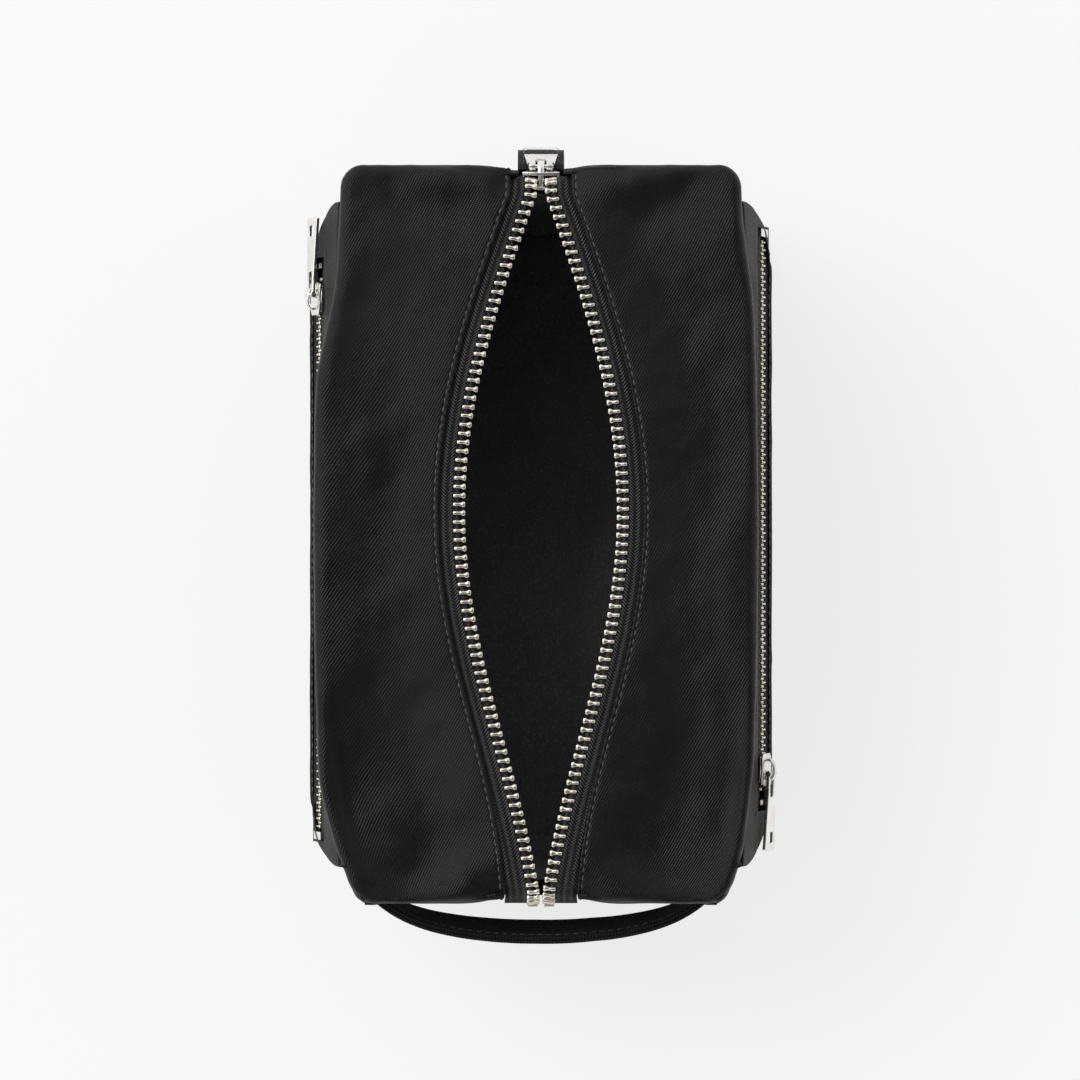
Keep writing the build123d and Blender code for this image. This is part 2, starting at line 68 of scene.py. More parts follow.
bag = {
    "halfLength": high("end_panel_far", 1),
    "halfWidthMid": high("side_panel_right", 0),
    "halfWidthEnd": high("end_panel_far", 0) - 0.41,
    "height": high("top_panel_right", 2),
    "corner": 7.0,
    "shoulder": 3.6,  # radius where the top rolls over to the walls
    "skirt": 4.2,  # seam of the top, below the top
    "baseRoll": 2.6,
    "cloth": 1.1,
    "sag": 2.3,  # how far the lower walls swell
    "crease": 0.55,
}

mainZip = {
    "top": high("top_panel_right", 2) - 1.5,  # chain mid-plane
    "toothLength": 3.6,
    "toothWidth": 1.95,
    "toothHeight": 2.5,
    "pitch": 2.7,
    "interlock": 0.75,
    "mouth": 23.1,
    "widestY": 7.0,
    "farY": 104.0,
    "nearY": -112.0,
    "noseOpening": 1.1,
    "nearOpening": 0.45,
    "tape": 0.6,
    "visibleTape": 4.5,
    "underHem": 3.0,
    "flare": 2.5,
    "flareFrom": 60,
    "mostFlare": 3.0,
    "farBendY": 103.9,
    "farBend": 4.5,
    "nearBendY": -104.5,
    "nearBend": 8.0,
    "slope": math.radians(80),
    "farDrop": 20.4,
    "nearDrop": 12.0,
    "sliderAt": 6.5,
    "closeX": 23.85,
}


# plan of the bag and the run of the main zip


def planX(y):
    sag = bag["halfWidthMid"] - bag["halfWidthEnd"]
    radius = (bag["halfLength"] ** 2 + sag**2) / (2 * sag)
    return bag["halfWidthMid"] - radius + math.sqrt(radius**2 - min(abs(y), bag["halfLength"]) ** 2)


def cornerCentre():
    y = bag["halfLength"] - bag["corner"]
    return planX(y) - bag["corner"], y


def openingAt(y):
    # middle to tooth tips along the top
    z = mainZip
    if y >= z["farY"]:
        return z["noseOpening"]
    if y >= z["widestY"]:
        u = (z["farY"] - y) / (z["farY"] - z["widestY"])
        return z["noseOpening"] + (z["mouth"] - z["noseOpening"]) * math.sin(math.pi * u / 2)
    v = max(0.0, (y - z["nearY"]) / (z["widestY"] - z["nearY"]))
    ease = (math.sin(math.pi * v / 2) + (1 - math.cos(math.pi * v)) / 2) / 2
    return max(z["nearOpening"], z["mouth"] * ease)


def hemAt(y):
    # the hem's distance from the middle: it turns away from the zip towards the near end
    extra = mainZip["flare"] * max(0.0, (-y - mainZip["flareFrom"]) / 50) ** 2
    return openingAt(y) + mainZip["toothLength"] + mainZip["visibleTape"] + min(extra, mainZip["mostFlare"])


farArc, nearArc = mainZip["farBend"] * mainZip["slope"], mainZip["nearBend"] * mainZip["slope"]
topRun = mainZip["farBendY"] - mainZip["nearBendY"]
chainStart = -farArc - mainZip["farDrop"]
chainEnd = topRun + nearArc + mainZip["nearDrop"]
sliderS = -farArc - mainZip["sliderAt"]


def chainPoint(s):
    # y, z and tip angle of the main chain, s from the far bend along the top
    z = mainZip
    slope = z["slope"]
    if s < -farArc:
        d = -farArc - s
        y0 = z["farBendY"] + z["farBend"] * math.sin(slope)
        z0 = z["top"] - z["farBend"] * (1 - math.cos(slope))
        return y0 + d * math.cos(slope), z0 - d * math.sin(slope), slope
    if s < 0:
        a = -s / z["farBend"]
        return z["farBendY"] + z["farBend"] * math.sin(a), z["top"] - z["farBend"] * (1 - math.cos(a)), a
    if s <= topRun:
        return z["farBendY"] - s, z["top"], 0.0
    if s < topRun + nearArc:
        a = (s - topRun) / z["nearBend"]
        return z["nearBendY"] - z["nearBend"] * math.sin(a), z["top"] - z["nearBend"] * (1 - math.cos(a)), -a
    d = s - topRun - nearArc
    y0 = z["nearBendY"] - z["nearBend"] * math.sin(slope)
    z0 = z["top"] - z["nearBend"] * (1 - math.cos(slope))
    return y0 - d * math.cos(slope), z0 - d * math.sin(slope), -slope


def tipsAt(s):
    ahead = s - sliderS
    if ahead < -2:
        return -mainZip["interlock"]
    if ahead < 4:
        return -mainZip["interlock"] + (mainZip["noseOpening"] + mainZip["interlock"]) * (ahead + 2) / 6
    return openingAt(chainPoint(s)[0])


def onChain(s, x, up=0.0):
    y, z, tip = chainPoint(s)
    return (x, y + up * math.sin(tip), z + up * math.cos(tip))


def rowShare(s):
    # how much of the closing travel the rows take at s
    return min(1.0, max(0.0, (tipsAt(s) + mainZip["interlock"]) / mainZip["closeX"]))


def hemShare(y):
    end = mainZip["noseOpening"] if y > mainZip["widestY"] else mainZip["nearOpening"]
    return min(1.0, max(0.0, (openingAt(y) - end) / mainZip["closeX"]))


# mesh helpers


def ripple(x, y, z, size, seed=0.0):
    # smooth value noise, about -1 to 1, with wrinkles of the given size in mm
    p = Vector((x / size + seed * 7.3, y / size - seed * 3.1, z / size + seed * 5.7))
    return noise.noise(p) + 0.45 * noise.noise(p * 2.1) + 0.2 * noise.noise(p * 4.3)


def smoothStep(value, start, end):
    t = min(1.0, max(0.0, (value - start) / (end - start)))
    return t * t * (3 - 2 * t)


def newObject(name, data):
    thing = bpy.data.objects.new(name, data)
    bpy.context.scene.collection.objects.link(thing)
    return thing


def linkMesh(name, points, faces, uvs=None, share=None, wrap=None):
    mesh = bpy.data.meshes.new(name)
    mesh.from_pydata([tuple(c * mm for c in p) for p in points], [], faces)
    if uvs is not None:
        layer = mesh.uv_layers.new(name="UVMap")
        corners = np.empty(len(mesh.loops), int)
        mesh.loops.foreach_get("vertex_index", corners)
        flat = np.asarray(uvs, float)[corners]
        if wrap:
            for face in mesh.polygons:  # the faces that close the loop
                u = flat[face.loop_start : face.loop_start + face.loop_total, 0]
                if u.max() - u.min() > wrap / 2:
                    u[u < wrap / 2] += wrap
        layer.data.foreach_set("uv", flat.ravel())
    if share is not None:
        layer = mesh.attributes.new("closing", "FLOAT", "POINT")
        layer.data.foreach_set("value", np.asarray(share, np.float32))
    mesh.polygons.foreach_set("use_smooth", [True] * len(mesh.polygons))
    mesh.update()
    return newObject(name, mesh)


def gridFaces(rows, columns, closed=False, flip=False, keep=None):
    faces = []
    for i in range(rows - 1):
        for j in range(columns if closed else columns - 1):
            if keep is not None and not keep(i, j):
                continue
            k = (j + 1) % columns
            a, b, c, d = i * columns + j, i * columns + k, (i + 1) * columns + k, (i + 1) * columns + j
            faces.append((a, d, c, b) if flip else (a, b, c, d))
    return faces


def applyModifiers(piece):
    depsgraph = bpy.context.evaluated_depsgraph_get()
    mesh = bpy.data.meshes.new_from_object(
        piece.evaluated_get(depsgraph), preserve_all_data_layers=True, depsgraph=depsgraph
    )
    piece.modifiers.clear()
    piece.data = mesh
    return piece


def bevelEdges(piece, width, angle, segments):
    edge = piece.modifiers.new("edge", "BEVEL")
    edge.width = width * mm
    edge.segments = segments
    edge.limit_method = "ANGLE"
    edge.angle_limit = math.radians(angle)


def faceOutwards(mesh):
    work = bmesh.new()
    work.from_mesh(mesh)
    bmesh.ops.recalc_face_normals(work, faces=work.faces)
    work.to_mesh(mesh)
    work.free()


def thicken(piece, thickness, offset=-1.0, bevel=0.0):
    solid = piece.modifiers.new("thickness", "SOLIDIFY")
    solid.thickness = thickness * mm
    solid.offset = offset
    solid.use_even_offset = False
    if bevel:
        bevelEdges(piece, bevel, 50, 2)
    return applyModifiers(piece)


def readShare(piece):
    layer = piece.data.attributes["closing"]
    share = np.zeros(len(piece.data.vertices), np.float32)
    layer.data.foreach_get("value", share)
    return share


def closeWith(piece):
    # reads each point's share of the closing travel, which nothing here uses, and bakes the piece's transform
    share = readShare(piece)
    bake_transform(piece)
    return piece


def dress(piece, material):
    piece.data.materials.clear()
    piece.data.materials.append(material)
    return piece


# materials


class Wiring:
    # short way to build a material's nodes

    def __init__(self, name):
        self.material = bpy.data.materials.new(name)
        self.material.use_nodes = True
        self.tree = self.material.node_tree
        self.shader = self.tree.nodes["Principled BSDF"]

    def add(self, kind, **values):
        node = self.tree.nodes.new(kind)
        for key, value in values.items():
            setattr(node, key, value)
        return node

    def link(self, a, b):
        self.tree.links.new(a, b)

    def math(self, operation, a, b=0.0, c=0.0):
        node = self.add("ShaderNodeMath", operation=operation)
        for i, value in enumerate((a, b, c)):
            if hasattr(value, "is_linked"):
                self.link(value, node.inputs[i])
            else:
                node.inputs[i].default_value = value
        return node.outputs[0]

    def ramp(self, value, stops):
        node = self.add("ShaderNodeValToRGB")
        while len(node.color_ramp.elements) < len(stops):
            node.color_ramp.elements.new(0.5)
        for element, (place, color) in zip(node.color_ramp.elements, stops):
            element.position = place
            element.color = (*color, 1)
        self.link(value, node.inputs[0])
        return node.outputs[0]

    def bump(self, height, strength, distance, normal=None):
        node = self.add("ShaderNodeBump")
        node.inputs["Strength"].default_value = strength
        node.inputs["Distance"].default_value = distance
        self.link(height, node.inputs["Height"])
        if normal is not None:
            self.link(normal, node.inputs["Normal"])
        return node.outputs[0]

    def noise(self, vector, scale, detail=2.0):
        node = self.add("ShaderNodeTexNoise")
        node.inputs["Scale"].default_value = scale
        node.inputs["Detail"].default_value = detail
        self.link(vector, node.inputs["Vector"])
        return node.outputs["Fac"]

    def wave(self, u, v, along, across, period):
        # sine across lines whose direction is set by the two factors, period in metres
        turn = 2 * math.pi / period
        sideways = self.math("MULTIPLY", u, along * turn)
        lengthwise = self.math("MULTIPLY", v, across * turn)
        return self.math("SINE", self.math("ADD", sideways, lengthwise))


def cloth(name, dark, light, period, bumpDepth, sheen, roughness, kind="twill", ribTone=0.16, creased=0.85):
    w = Wiring(name)
    uv = w.add("ShaderNodeUVMap", uv_map="UVMap")
    split = w.add("ShaderNodeSeparateXYZ")
    w.link(uv.outputs[0], split.inputs[0])
    u, v = split.outputs[0], split.outputs[1]
    place = w.add("ShaderNodeTexCoord").outputs["Object"]
    if kind == "herringbone":
        column = w.math("PINGPONG", u, 0.0021)  # ribs turn back at each column
        rib = w.wave(column, v, 1.0, 1.0, period)
        fine = w.wave(u, v, 1.0, 0.0, 0.0021)
    elif kind == "webbing":
        rib = w.wave(u, v, 0.35, 1.0, period)
        fine = w.wave(u, v, 1.0, 0.0, period * 0.8)
    else:
        rib = w.wave(u, v, 0.88, -0.47, period)
        fine = w.wave(u, v, 0.3, 1.0, period * 0.8)
    weave = w.math("ADD", w.math("MULTIPLY", rib, 0.6), w.math("MULTIPLY", fine, 0.4))
    speck = w.noise(place, 1500, 1.0)
    # large patches: real variation in the roughness, and in the colour painted sheen, lighter patches
    # standing in for light across the cloth
    sheenPatch = w.noise(place, 17, 3.0)
    tone = w.math("ADD", w.math("MULTIPLY", weave, ribTone), w.math("MULTIPLY", sheenPatch, 0.5))
    lit = w.math("MULTIPLY", speck, w.math("ADD", weave, 1.6))
    paintedGlint = w.math("MULTIPLY", w.math("GREATER_THAN", lit, 1.42), 0.55)  # painted glint: the odd thread made brighter in the colour, standing in for a sparkle of light
    tone = w.math("ADD", w.math("ADD", tone, w.math("MULTIPLY", speck, min(ribTone, 0.2))), paintedGlint)
    # the top of the ramp holds the painted glints and, on the zip tape, the lightest ribs
    bright = tuple(c * 2.4 for c in light)
    w.link(w.ramp(tone, [(0.15, dark), (0.68, light), (1.0, bright)]), w.shader.inputs["Base Color"])
    rough = w.math("ADD", w.math("MULTIPLY", sheenPatch, 0.34), roughness - 0.17)
    w.link(rough, w.shader.inputs["Roughness"])
    broad = w.bump(w.noise(place, 24, 3.0), creased, 0.0042)
    soft = w.bump(w.noise(place, 110, 3.0), 0.4, 0.0006, broad)
    w.link(w.bump(w.math("ADD", weave, speck), 0.8, bumpDepth, soft), w.shader.inputs["Normal"])
    w.shader.inputs["Sheen Weight"].default_value = sheen
    w.shader.inputs["Sheen Roughness"].default_value = 0.45
    w.shader.inputs["Specular IOR Level"].default_value = 0.24
    return w.material


def metal(name, color, roughness):
    w = Wiring(name)
    place = w.add("ShaderNodeTexCoord").outputs["Object"]
    wear = w.noise(place, 420, 4.0)
    cloud = w.noise(place, 90, 2.0)
    tone = w.math("ADD", w.math("MULTIPLY", wear, 0.4), w.math("MULTIPLY", cloud, 0.6))
    shade = tuple(c * 0.72 for c in color)
    w.link(w.ramp(tone, [(0.25, shade), (0.6, color)]), w.shader.inputs["Base Color"])
    w.link(w.math("ADD", w.math("MULTIPLY", wear, 0.22), roughness - 0.1), w.shader.inputs["Roughness"])
    w.link(w.bump(wear, 0.25, 0.00008), w.shader.inputs["Normal"])
    w.shader.inputs["Metallic"].default_value = 1.0
    return w.material


def thread(name, dark, light):
    w = Wiring(name)
    place = w.add("ShaderNodeTexCoord").outputs["Object"]
    strand = w.noise(place, 2600, 1.0)
    w.link(w.ramp(strand, [(0.35, dark), (0.65, light)]), w.shader.inputs["Base Color"])
    w.link(w.bump(strand, 0.5, 0.0001), w.shader.inputs["Normal"])
    w.shader.inputs["Roughness"].default_value = 0.62
    w.shader.inputs["Sheen Weight"].default_value = 0.2
    return w.material


twillNylon = cloth(
    "twillNylon", dark=(0.0008, 0.0008, 0.001), light=(0.0048, 0.0048, 0.0052), period=0.00075,
    bumpDepth=0.00008, sheen=0.0, roughness=0.36, ribTone=0.1,
)
pocketNylon = cloth(
    "pocketNylon", dark=(0.0008, 0.0008, 0.001), light=(0.0044, 0.0044, 0.0048), period=0.00075,
    bumpDepth=0.00008, sheen=0.0, roughness=0.42, ribTone=0.1,
)
zipTape = cloth(
    "zipTape", dark=(0.0008, 0.0008, 0.001), light=(0.04, 0.04, 0.043), period=0.001,
    bumpDepth=0.0005, sheen=0.0, roughness=0.58, kind="herringbone", ribTone=0.85, creased=0.1,
)
strapWebbing = cloth(
    "strapWebbing", dark=(0.0014, 0.0014, 0.0017), light=(0.006, 0.006, 0.0065), period=0.001,
    bumpDepth=0.0003, sheen=0.03, roughness=0.6, kind="webbing", ribTone=0.2, creased=0.2,
)
liningCloth = cloth(
    "liningCloth", dark=(0.13, 0.13, 0.132), light=(0.27, 0.27, 0.273), period=0.0005,
    bumpDepth=0.00008, sheen=0.05, roughness=0.5,
)
warmNickel = metal("warmNickel", (0.86, 0.80, 0.68), 0.24)
brightNickel = metal("brightNickel", (0.90, 0.88, 0.84), 0.2)
greyThread = thread("greyThread", (0.035, 0.035, 0.036), (0.13, 0.13, 0.135))
print("materials made")


# repeats: teeth and stitches set on points by one node tree


def repeatTree():
    tree = bpy.data.node_groups.new("setAlongLine", "GeometryNodeTree")
    inputs = {"Geometry": "Geometry", "Piece": "Object", "Length Width Height": "Vector"}
    inputs |= {"Looseness": "Float", "Seed": "Int", "Finish": "Material"}
    for name, kind in inputs.items():
        tree.interface.new_socket(name, in_out="INPUT", socket_type="NodeSocket" + kind)
    tree.interface.new_socket("Geometry", in_out="OUTPUT", socket_type="NodeSocketGeometry")
    nodes, links = tree.nodes, tree.links
    source = nodes.new("NodeGroupInput")
    info = nodes.new("GeometryNodeObjectInfo")
    turn = nodes.new("GeometryNodeInputNamedAttribute")
    turn.data_type = "FLOAT_VECTOR"
    turn.inputs["Name"].default_value = "turn"
    loose = nodes.new("FunctionNodeRandomValue")
    loose.data_type = "FLOAT_VECTOR"
    negative = nodes.new("ShaderNodeMath")
    negative.operation = "MULTIPLY"
    negative.inputs[1].default_value = -1.0
    total = nodes.new("ShaderNodeVectorMath")
    total.operation = "ADD"
    rotation = nodes.new("FunctionNodeEulerToRotation")
    place = nodes.new("GeometryNodeInstanceOnPoints")
    real = nodes.new("GeometryNodeRealizeInstances")
    finish = nodes.new("GeometryNodeSetMaterial")
    result = nodes.new("NodeGroupOutput")
    links.new(source.outputs["Piece"], info.inputs["Object"])
    links.new(source.outputs["Looseness"], negative.inputs[0])
    links.new(negative.outputs[0], loose.inputs["Min"])
    links.new(source.outputs["Looseness"], loose.inputs["Max"])
    links.new(source.outputs["Seed"], loose.inputs["Seed"])
    links.new(turn.outputs["Attribute"], total.inputs[0])
    links.new(loose.outputs["Value"], total.inputs[1])
    links.new(total.outputs[0], rotation.inputs[0])
    links.new(source.outputs["Geometry"], place.inputs["Points"])
    links.new(info.outputs["Geometry"], place.inputs["Instance"])
    links.new(rotation.outputs[0], place.inputs["Rotation"])
    links.new(source.outputs["Length Width Height"], place.inputs["Scale"])
    links.new(place.outputs["Instances"], real.inputs["Geometry"])
    links.new(real.outputs["Geometry"], finish.inputs["Geometry"])
    links.new(source.outputs["Finish"], finish.inputs["Material"])
    links.new(finish.outputs["Geometry"], result.inputs["Geometry"])
    return tree


setAlongLine = repeatTree()


def socketId(name):
    sockets = setAlongLine.interface.items_tree
    return next(s.identifier for s in sockets if s.name == name and s.in_out == "INPUT")


def unitTooth():
    # tip at x = 0, root at x = 1: a rounded head, a waist and two legs over the tape
    places = [0.0, 0.05, 0.2, 0.34, 0.5, 0.72, 0.95, 1.0]
    wide = [0.36, 0.48, 0.5, 0.34, 0.27, 0.3, 0.33, 0.26]
    deep = [0.22, 0.36, 0.4, 0.36, 0.42, 0.5, 0.48, 0.36]
    rings = []
    for x, w, h in zip(places, wide, deep):
        rings.append([(x, -w, -h * 0.6), (x, -w * 0.6, -h), (x, w * 0.6, -h), (x, w, -h * 0.6),
                      (x, w, h * 0.6), (x, w * 0.6, h), (x, -w * 0.6, h), (x, -w, h * 0.6)])
    points = [p for ring in rings for p in ring]
    faces = gridFaces(len(rings), 8, closed=True)
    faces += [tuple(range(8)), tuple(reversed(range(len(points) - 8, len(points))))]
    return makePattern("toothPattern", points, faces)


def unitStitch():
    # a short lens of thread along x
    points, steps = [], 5
    for i in range(steps):
        a = -0.5 + i / (steps - 1)
        r = 0.5 * (1 - (2 * abs(a)) ** 2.2) ** 0.5 if abs(a) < 0.5 else 0.12
        points += [(a, r * math.cos(t), r * math.sin(t)) for t in [math.pi * k / 3 for k in range(6)]]
    faces = gridFaces(steps, 6, closed=True) + [tuple(range(6)), tuple(reversed(range(24, 30)))]
    return makePattern("stitchPattern", points, faces)


def makePattern(name, points, faces):
    mesh = bpy.data.meshes.new(name)
    mesh.from_pydata(points, [], faces)
    faceOutwards(mesh)
    mesh.polygons.foreach_set("use_smooth", [True] * len(mesh.polygons))
    return bpy.data.objects.new(name, mesh)


toothPattern = unitTooth()
stitchPattern = unitStitch()


def setAlong(name, pattern, places, size, material, looseness=0.0, seed=1):
    # places: (point in mm, Euler, share of the closing travel)
    mesh = bpy.data.meshes.new(name)
    mesh.from_pydata([tuple(c * mm for c in p) for p, _, _ in places], [], [])
    turn = mesh.attributes.new("turn", "FLOAT_VECTOR", "POINT")
    turn.data.foreach_set("vector", [a for _, e, _ in places for a in e])
    share = mesh.attributes.new("closing", "FLOAT", "POINT")
    share.data.foreach_set("value", [s for _, _, s in places])
    piece = newObject(name, mesh)
    modifier = piece.modifiers.new("repeat", "NODES")
    modifier.node_group = setAlongLine
    modifier[socketId("Piece")] = pattern
    modifier[socketId("Length Width Height")] = [c * mm for c in size]
    modifier[socketId("Looseness")] = looseness
    modifier[socketId("Seed")] = seed
    modifier[socketId("Finish")] = material
    return applyModifiers(piece)


def eulerOf(along, up):
    # turns x to `along` and z as near as it can to `up`
    x = Vector(along).normalized()
    z = Vector(up)
    y = z.cross(x).normalized()
    z = x.cross(y)
    return Matrix((x, y, z)).transposed().to_euler()


def stitchRow(name, line, normals, stitch, share=None, seed=1):
    # one stitch after another along a line of points in mm
    line = np.asarray(line, float)
    step = np.linalg.norm(np.diff(line, axis=0), axis=1)
    run = np.concatenate([[0], np.cumsum(step)])
    share = np.zeros(len(line)) if share is None else np.asarray(share)
    places = []
    for k in range(int(run[-1] / stitch["pitch"])):
        d = (k + 0.5) * stitch["pitch"]
        at = [np.interp(d, run, line[:, i]) for i in range(3)]
        ahead = [np.interp(d + 0.6, run, line[:, i]) for i in range(3)]
        behind = [np.interp(d - 0.6, run, line[:, i]) for i in range(3)]
        up = [np.interp(d, run, np.asarray(normals)[:, i]) for i in range(3)]
        at = [a + n * stitch["proud"] for a, n in zip(at, up)]
        along = [a - b for a, b in zip(ahead, behind)]
        places.append((at, eulerOf(along, up), float(np.interp(d, run, share))))
    size = (stitch["length"], stitch["thick"], stitch["thick"] * 0.8)
    return setAlong(name, stitchPattern, places, size, greyThread, 0.06, seed)


def spread(start, end, step, keepers=()):
    # even places from start to end, with the nearest ones moved onto the keepers
    count = max(2, int(abs(end - start) / step) + 1)
    places = np.linspace(start, end, count)
    for value in keepers:
        places[np.argmin(np.abs(places - value))] = value
    return list(places)


# walls and base: one padded shell, open at both ends for the zip

walls = {
    "columnStep": 2.2,
    "rowStep": 2.2,
    "farNotch": (6.9, bag["height"] - 26.0),
    "nearNotch": (hemAt(-bag["halfLength"]), bag["height"] - 20.5),
    "swellAt": 0.36,  # share of the height where the walls stand out most
    "cornerSeam": 0.55,
    "dip": 1.5,  # how far the zip pulls the ends in
    "dipFrom": (99, 112),
    "padding": 0.55,
    "leanLeft": {"by": 5.3, "far": (42, 82), "near": (72, 106)},  # how the top stands over the pockets
    "leanRight": {"by": 2.2, "far": (66, 100), "near": (66, 104)},
    "pinch": 3.4,  # how far the near corners pull in
    "pinchFrom": (92, 113.5),
}


def planLoop():
    # x, y, outward x, outward y of places round the plan, anticlockwise from the near end
    cx, cy = cornerCentre()
    length, r = bag["halfLength"], bag["corner"]
    far, near = walls["farNotch"][0], walls["nearNotch"][0]
    loop = [(x, -length, 0.0, -1.0) for x in spread(-cx, cx, walls["columnStep"], (-near, near))[:-1]]
    arc = [math.radians(9 * k) for k in range(10)]
    loop += [(cx + r * math.sin(a), -cy - r * math.cos(a), math.sin(a), -math.cos(a)) for a in arc]
    loop += [(planX(y), y, 1.0, 0.0) for y in spread(-cy, cy, walls["columnStep"])[1:-1]]
    loop += [(cx + r * math.cos(a), cy + r * math.sin(a), math.cos(a), math.sin(a)) for a in arc]
    loop += [(x, length, 0.0, 1.0) for x in spread(cx, -cx, walls["columnStep"], (-far, far))[1:-1]]
    loop += [(-cx - r * math.sin(a), cy + r * math.cos(a), -math.sin(a), math.cos(a)) for a in arc]
    loop += [(-planX(y), y, -1.0, 0.0) for y in spread(cy, -cy, walls["columnStep"])[1:-1]]
    loop += [(-cx - r * math.cos(a), -cy - r * math.sin(a), -math.cos(a), -math.sin(a)) for a in arc[:-1]]
    return loop


def zipPull(x, y):
    # 0 to 1 beside the zip where it goes over an end
    half = walls["farNotch"][0] if y > 0 else walls["nearNotch"][0]
    return smoothStep(abs(y), *walls["dipFrom"]) * math.exp(-(max(0.0, abs(x) - half) / 7) ** 2)


def lean(x, y):
    # the top stands over the pockets, further over the left one
    side = walls["leanRight"] if x > 0 else walls["leanLeft"]
    return side["by"] * (1 - smoothStep(y, *side["far"])) * (1 - smoothStep(-y, *side["near"]))


def nearPinch(y):
    # the near corners pull in towards the top
    return walls["pinch"] * smoothStep(-y, *walls["pinchFrom"]) ** 1.3


def wallRelief(x, y, nx, ny, z):
    height = bag["height"]
    cx, cy = cornerCentre()
    along = abs(y) / cy if abs(nx) > 0.99 else abs(x) / cx if abs(ny) > 0.99 else 1.0
    middle = max(0.0, 1 - along**2)
    rise = z / height
    bump = math.exp(-(((rise - walls["swellAt"]) / 0.24) ** 2))
    out = bag["sag"] * middle**0.6 * bump
    calm = 0.35 + 0.65 * middle
    out += bag["crease"] * calm * ripple(x, y, z, 34, 1) * smoothStep(z, 2, 20)
    out += 0.22 * ripple(x * 1.4, y * 1.4, z * 0.6, 11, 2) * math.exp(-max(0.0, height - z) / 22)
    out += 0.3 * ripple(x * 1.6, y * 1.6, z * 0.5, 13, 3) * math.exp(-z / 14)
    seam = abs(abs(y) - cy) if abs(nx) > 0.6 else 99
    out -= walls["cornerSeam"] * math.exp(-((seam / 1.1) ** 2))
    out -= walls["dip"] * zipPull(x, y) * smoothStep(z, 80, 112)
    out += lean(x, y) * abs(nx) * smoothStep(z, 106, 120)
    out -= nearPinch(y) * nx * math.copysign(1, x) * smoothStep(z, 55, 118)
    return out


def makeWalls():
    height, roll = bag["height"], bag["baseRoll"]
    loop = planLoop()
    run = np.cumsum([0.0] + [math.dist(a[:2], b[:2]) for a, b in zip(loop, loop[1:] + loop[:1])])
    far, near = walls["farNotch"], walls["nearNotch"]
    seam = height - bag["skirt"]
    rows = [("base", f) for f in (0.12, 0.3, 0.5, 0.7, 0.85, 0.94, 1.0)]
    rows += [("roll", math.radians(a)) for a in (22, 45, 68)]
    rows += [("wall", z) for z in spread(roll, seam, walls["rowStep"], (far[1], near[1]))]
    rows += [("tuck", seam + 0.5), ("tuck", seam + 2.2)]
    points, uvs = [], []
    for kind, value in rows:
        for j, (x, y, nx, ny) in enumerate(loop):
            if kind == "base":
                px, py = (x - nx * roll) * value, (y - ny * roll) * value
                pz = 0.9 * (1 - smoothStep(value, 0.3, 0.92))
                points.append((px, py, pz))
                uvs.append((px * mm, py * mm))
                continue
            inset, z = 0.0, value
            if kind == "roll":
                inset, z = roll * (1 - math.sin(value)), roll * (1 - math.cos(value))
            if kind == "tuck":
                inset = 0.5 if value < seam + 1 else 1.1
            out = wallRelief(x, y, nx, ny, z) - inset
            points.append((x + nx * out, y + ny * out, z))
            uvs.append((run[j] * mm, z * mm))
    columns = len(loop)

    def kept(i, j):
        if rows[i][0] in ("base", "roll"):
            return True
        x0, x1, y = loop[j][0], loop[(j + 1) % columns][0], loop[j][1]
        half, floor = far if y > 0 else near
        flat = abs(abs(y) - bag["halfLength"]) < 0.01
        inside = max(abs(x0), abs(x1)) <= half + 0.01
        return not (flat and inside and rows[i][1] >= floor - 0.01)

    faces = gridFaces(len(rows), columns, closed=True, keep=kept)
    points.append((0, 0, 0.9))
    uvs.append((0, 0))
    faces += [(len(points) - 1, (j + 1) % columns, j) for j in range(columns)]
    piece = linkMesh("bagWalls", points, faces, uvs, wrap=run[-1] * mm)
    return thicken(dress(piece, twillNylon), bag["cloth"], -1.0)


bagWalls = makeWalls()
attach(bagWalls, "bag")
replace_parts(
    bagWalls, "base_panel", "base_board", "side_panel_left", "side_panel_right", "end_panel_far",
    "end_panel_near", "foam_left", "foam_right", "foam_far", "foam_near",
)
print("walls made")


# top panels, hem to shoulder and down to the seam

top = {
    "hemRoll": 0.4,
    "stitchFromHem": 1.45,
    "folds": 1.25,
    "foldSize": 36.0,
    "sink": 1.5,
    "endDip": 3.0,
    "nearDroop": 3.0,  # the top hangs lower towards the near end
    "droopFrom": (28, 92),
    "droopTo": (90, 110),
    "cloth": 1.2,
}


def overShoulder(x, y):
    # flat sheet to its place over the shoulder, with the surface's normal there
    r, drop = bag["shoulder"], bag["skirt"] - bag["shoulder"]
    spare = drop + math.pi * r / 2 - r
    cx, cy = cornerCentre()
    if abs(x) > cx and abs(y) > cy:
        reach = math.hypot(abs(x) - cx, abs(y) - cy)
        nx, ny = math.copysign((abs(x) - cx) / reach, x), math.copysign((abs(y) - cy) / reach, y)
        inside = bag["corner"] - reach
    elif bag["halfLength"] - abs(y) < planX(y) - abs(x):
        nx, ny, inside = 0.0, math.copysign(1, y), bag["halfLength"] - abs(y)
    else:
        nx, ny, inside = math.copysign(1, x), 0.0, planX(y) - abs(x)
    reach = inside + spare
    if reach < drop:
        offset, z, tilt = 0.0, bag["height"] - bag["skirt"] + reach, math.pi / 2
    elif reach < drop + math.pi * r / 2:
        a = (reach - drop) / r
        offset, z, tilt = r * (1 - math.cos(a)), bag["height"] - r + r * math.sin(a), math.pi / 2 - a
    else:
        offset, z, tilt = inside, bag["height"], 0.0
    move = inside - offset
    normal = (nx * math.sin(tilt), ny * math.sin(tilt), math.cos(tilt))
    return (x + nx * move, y + ny * move, z), normal, reach


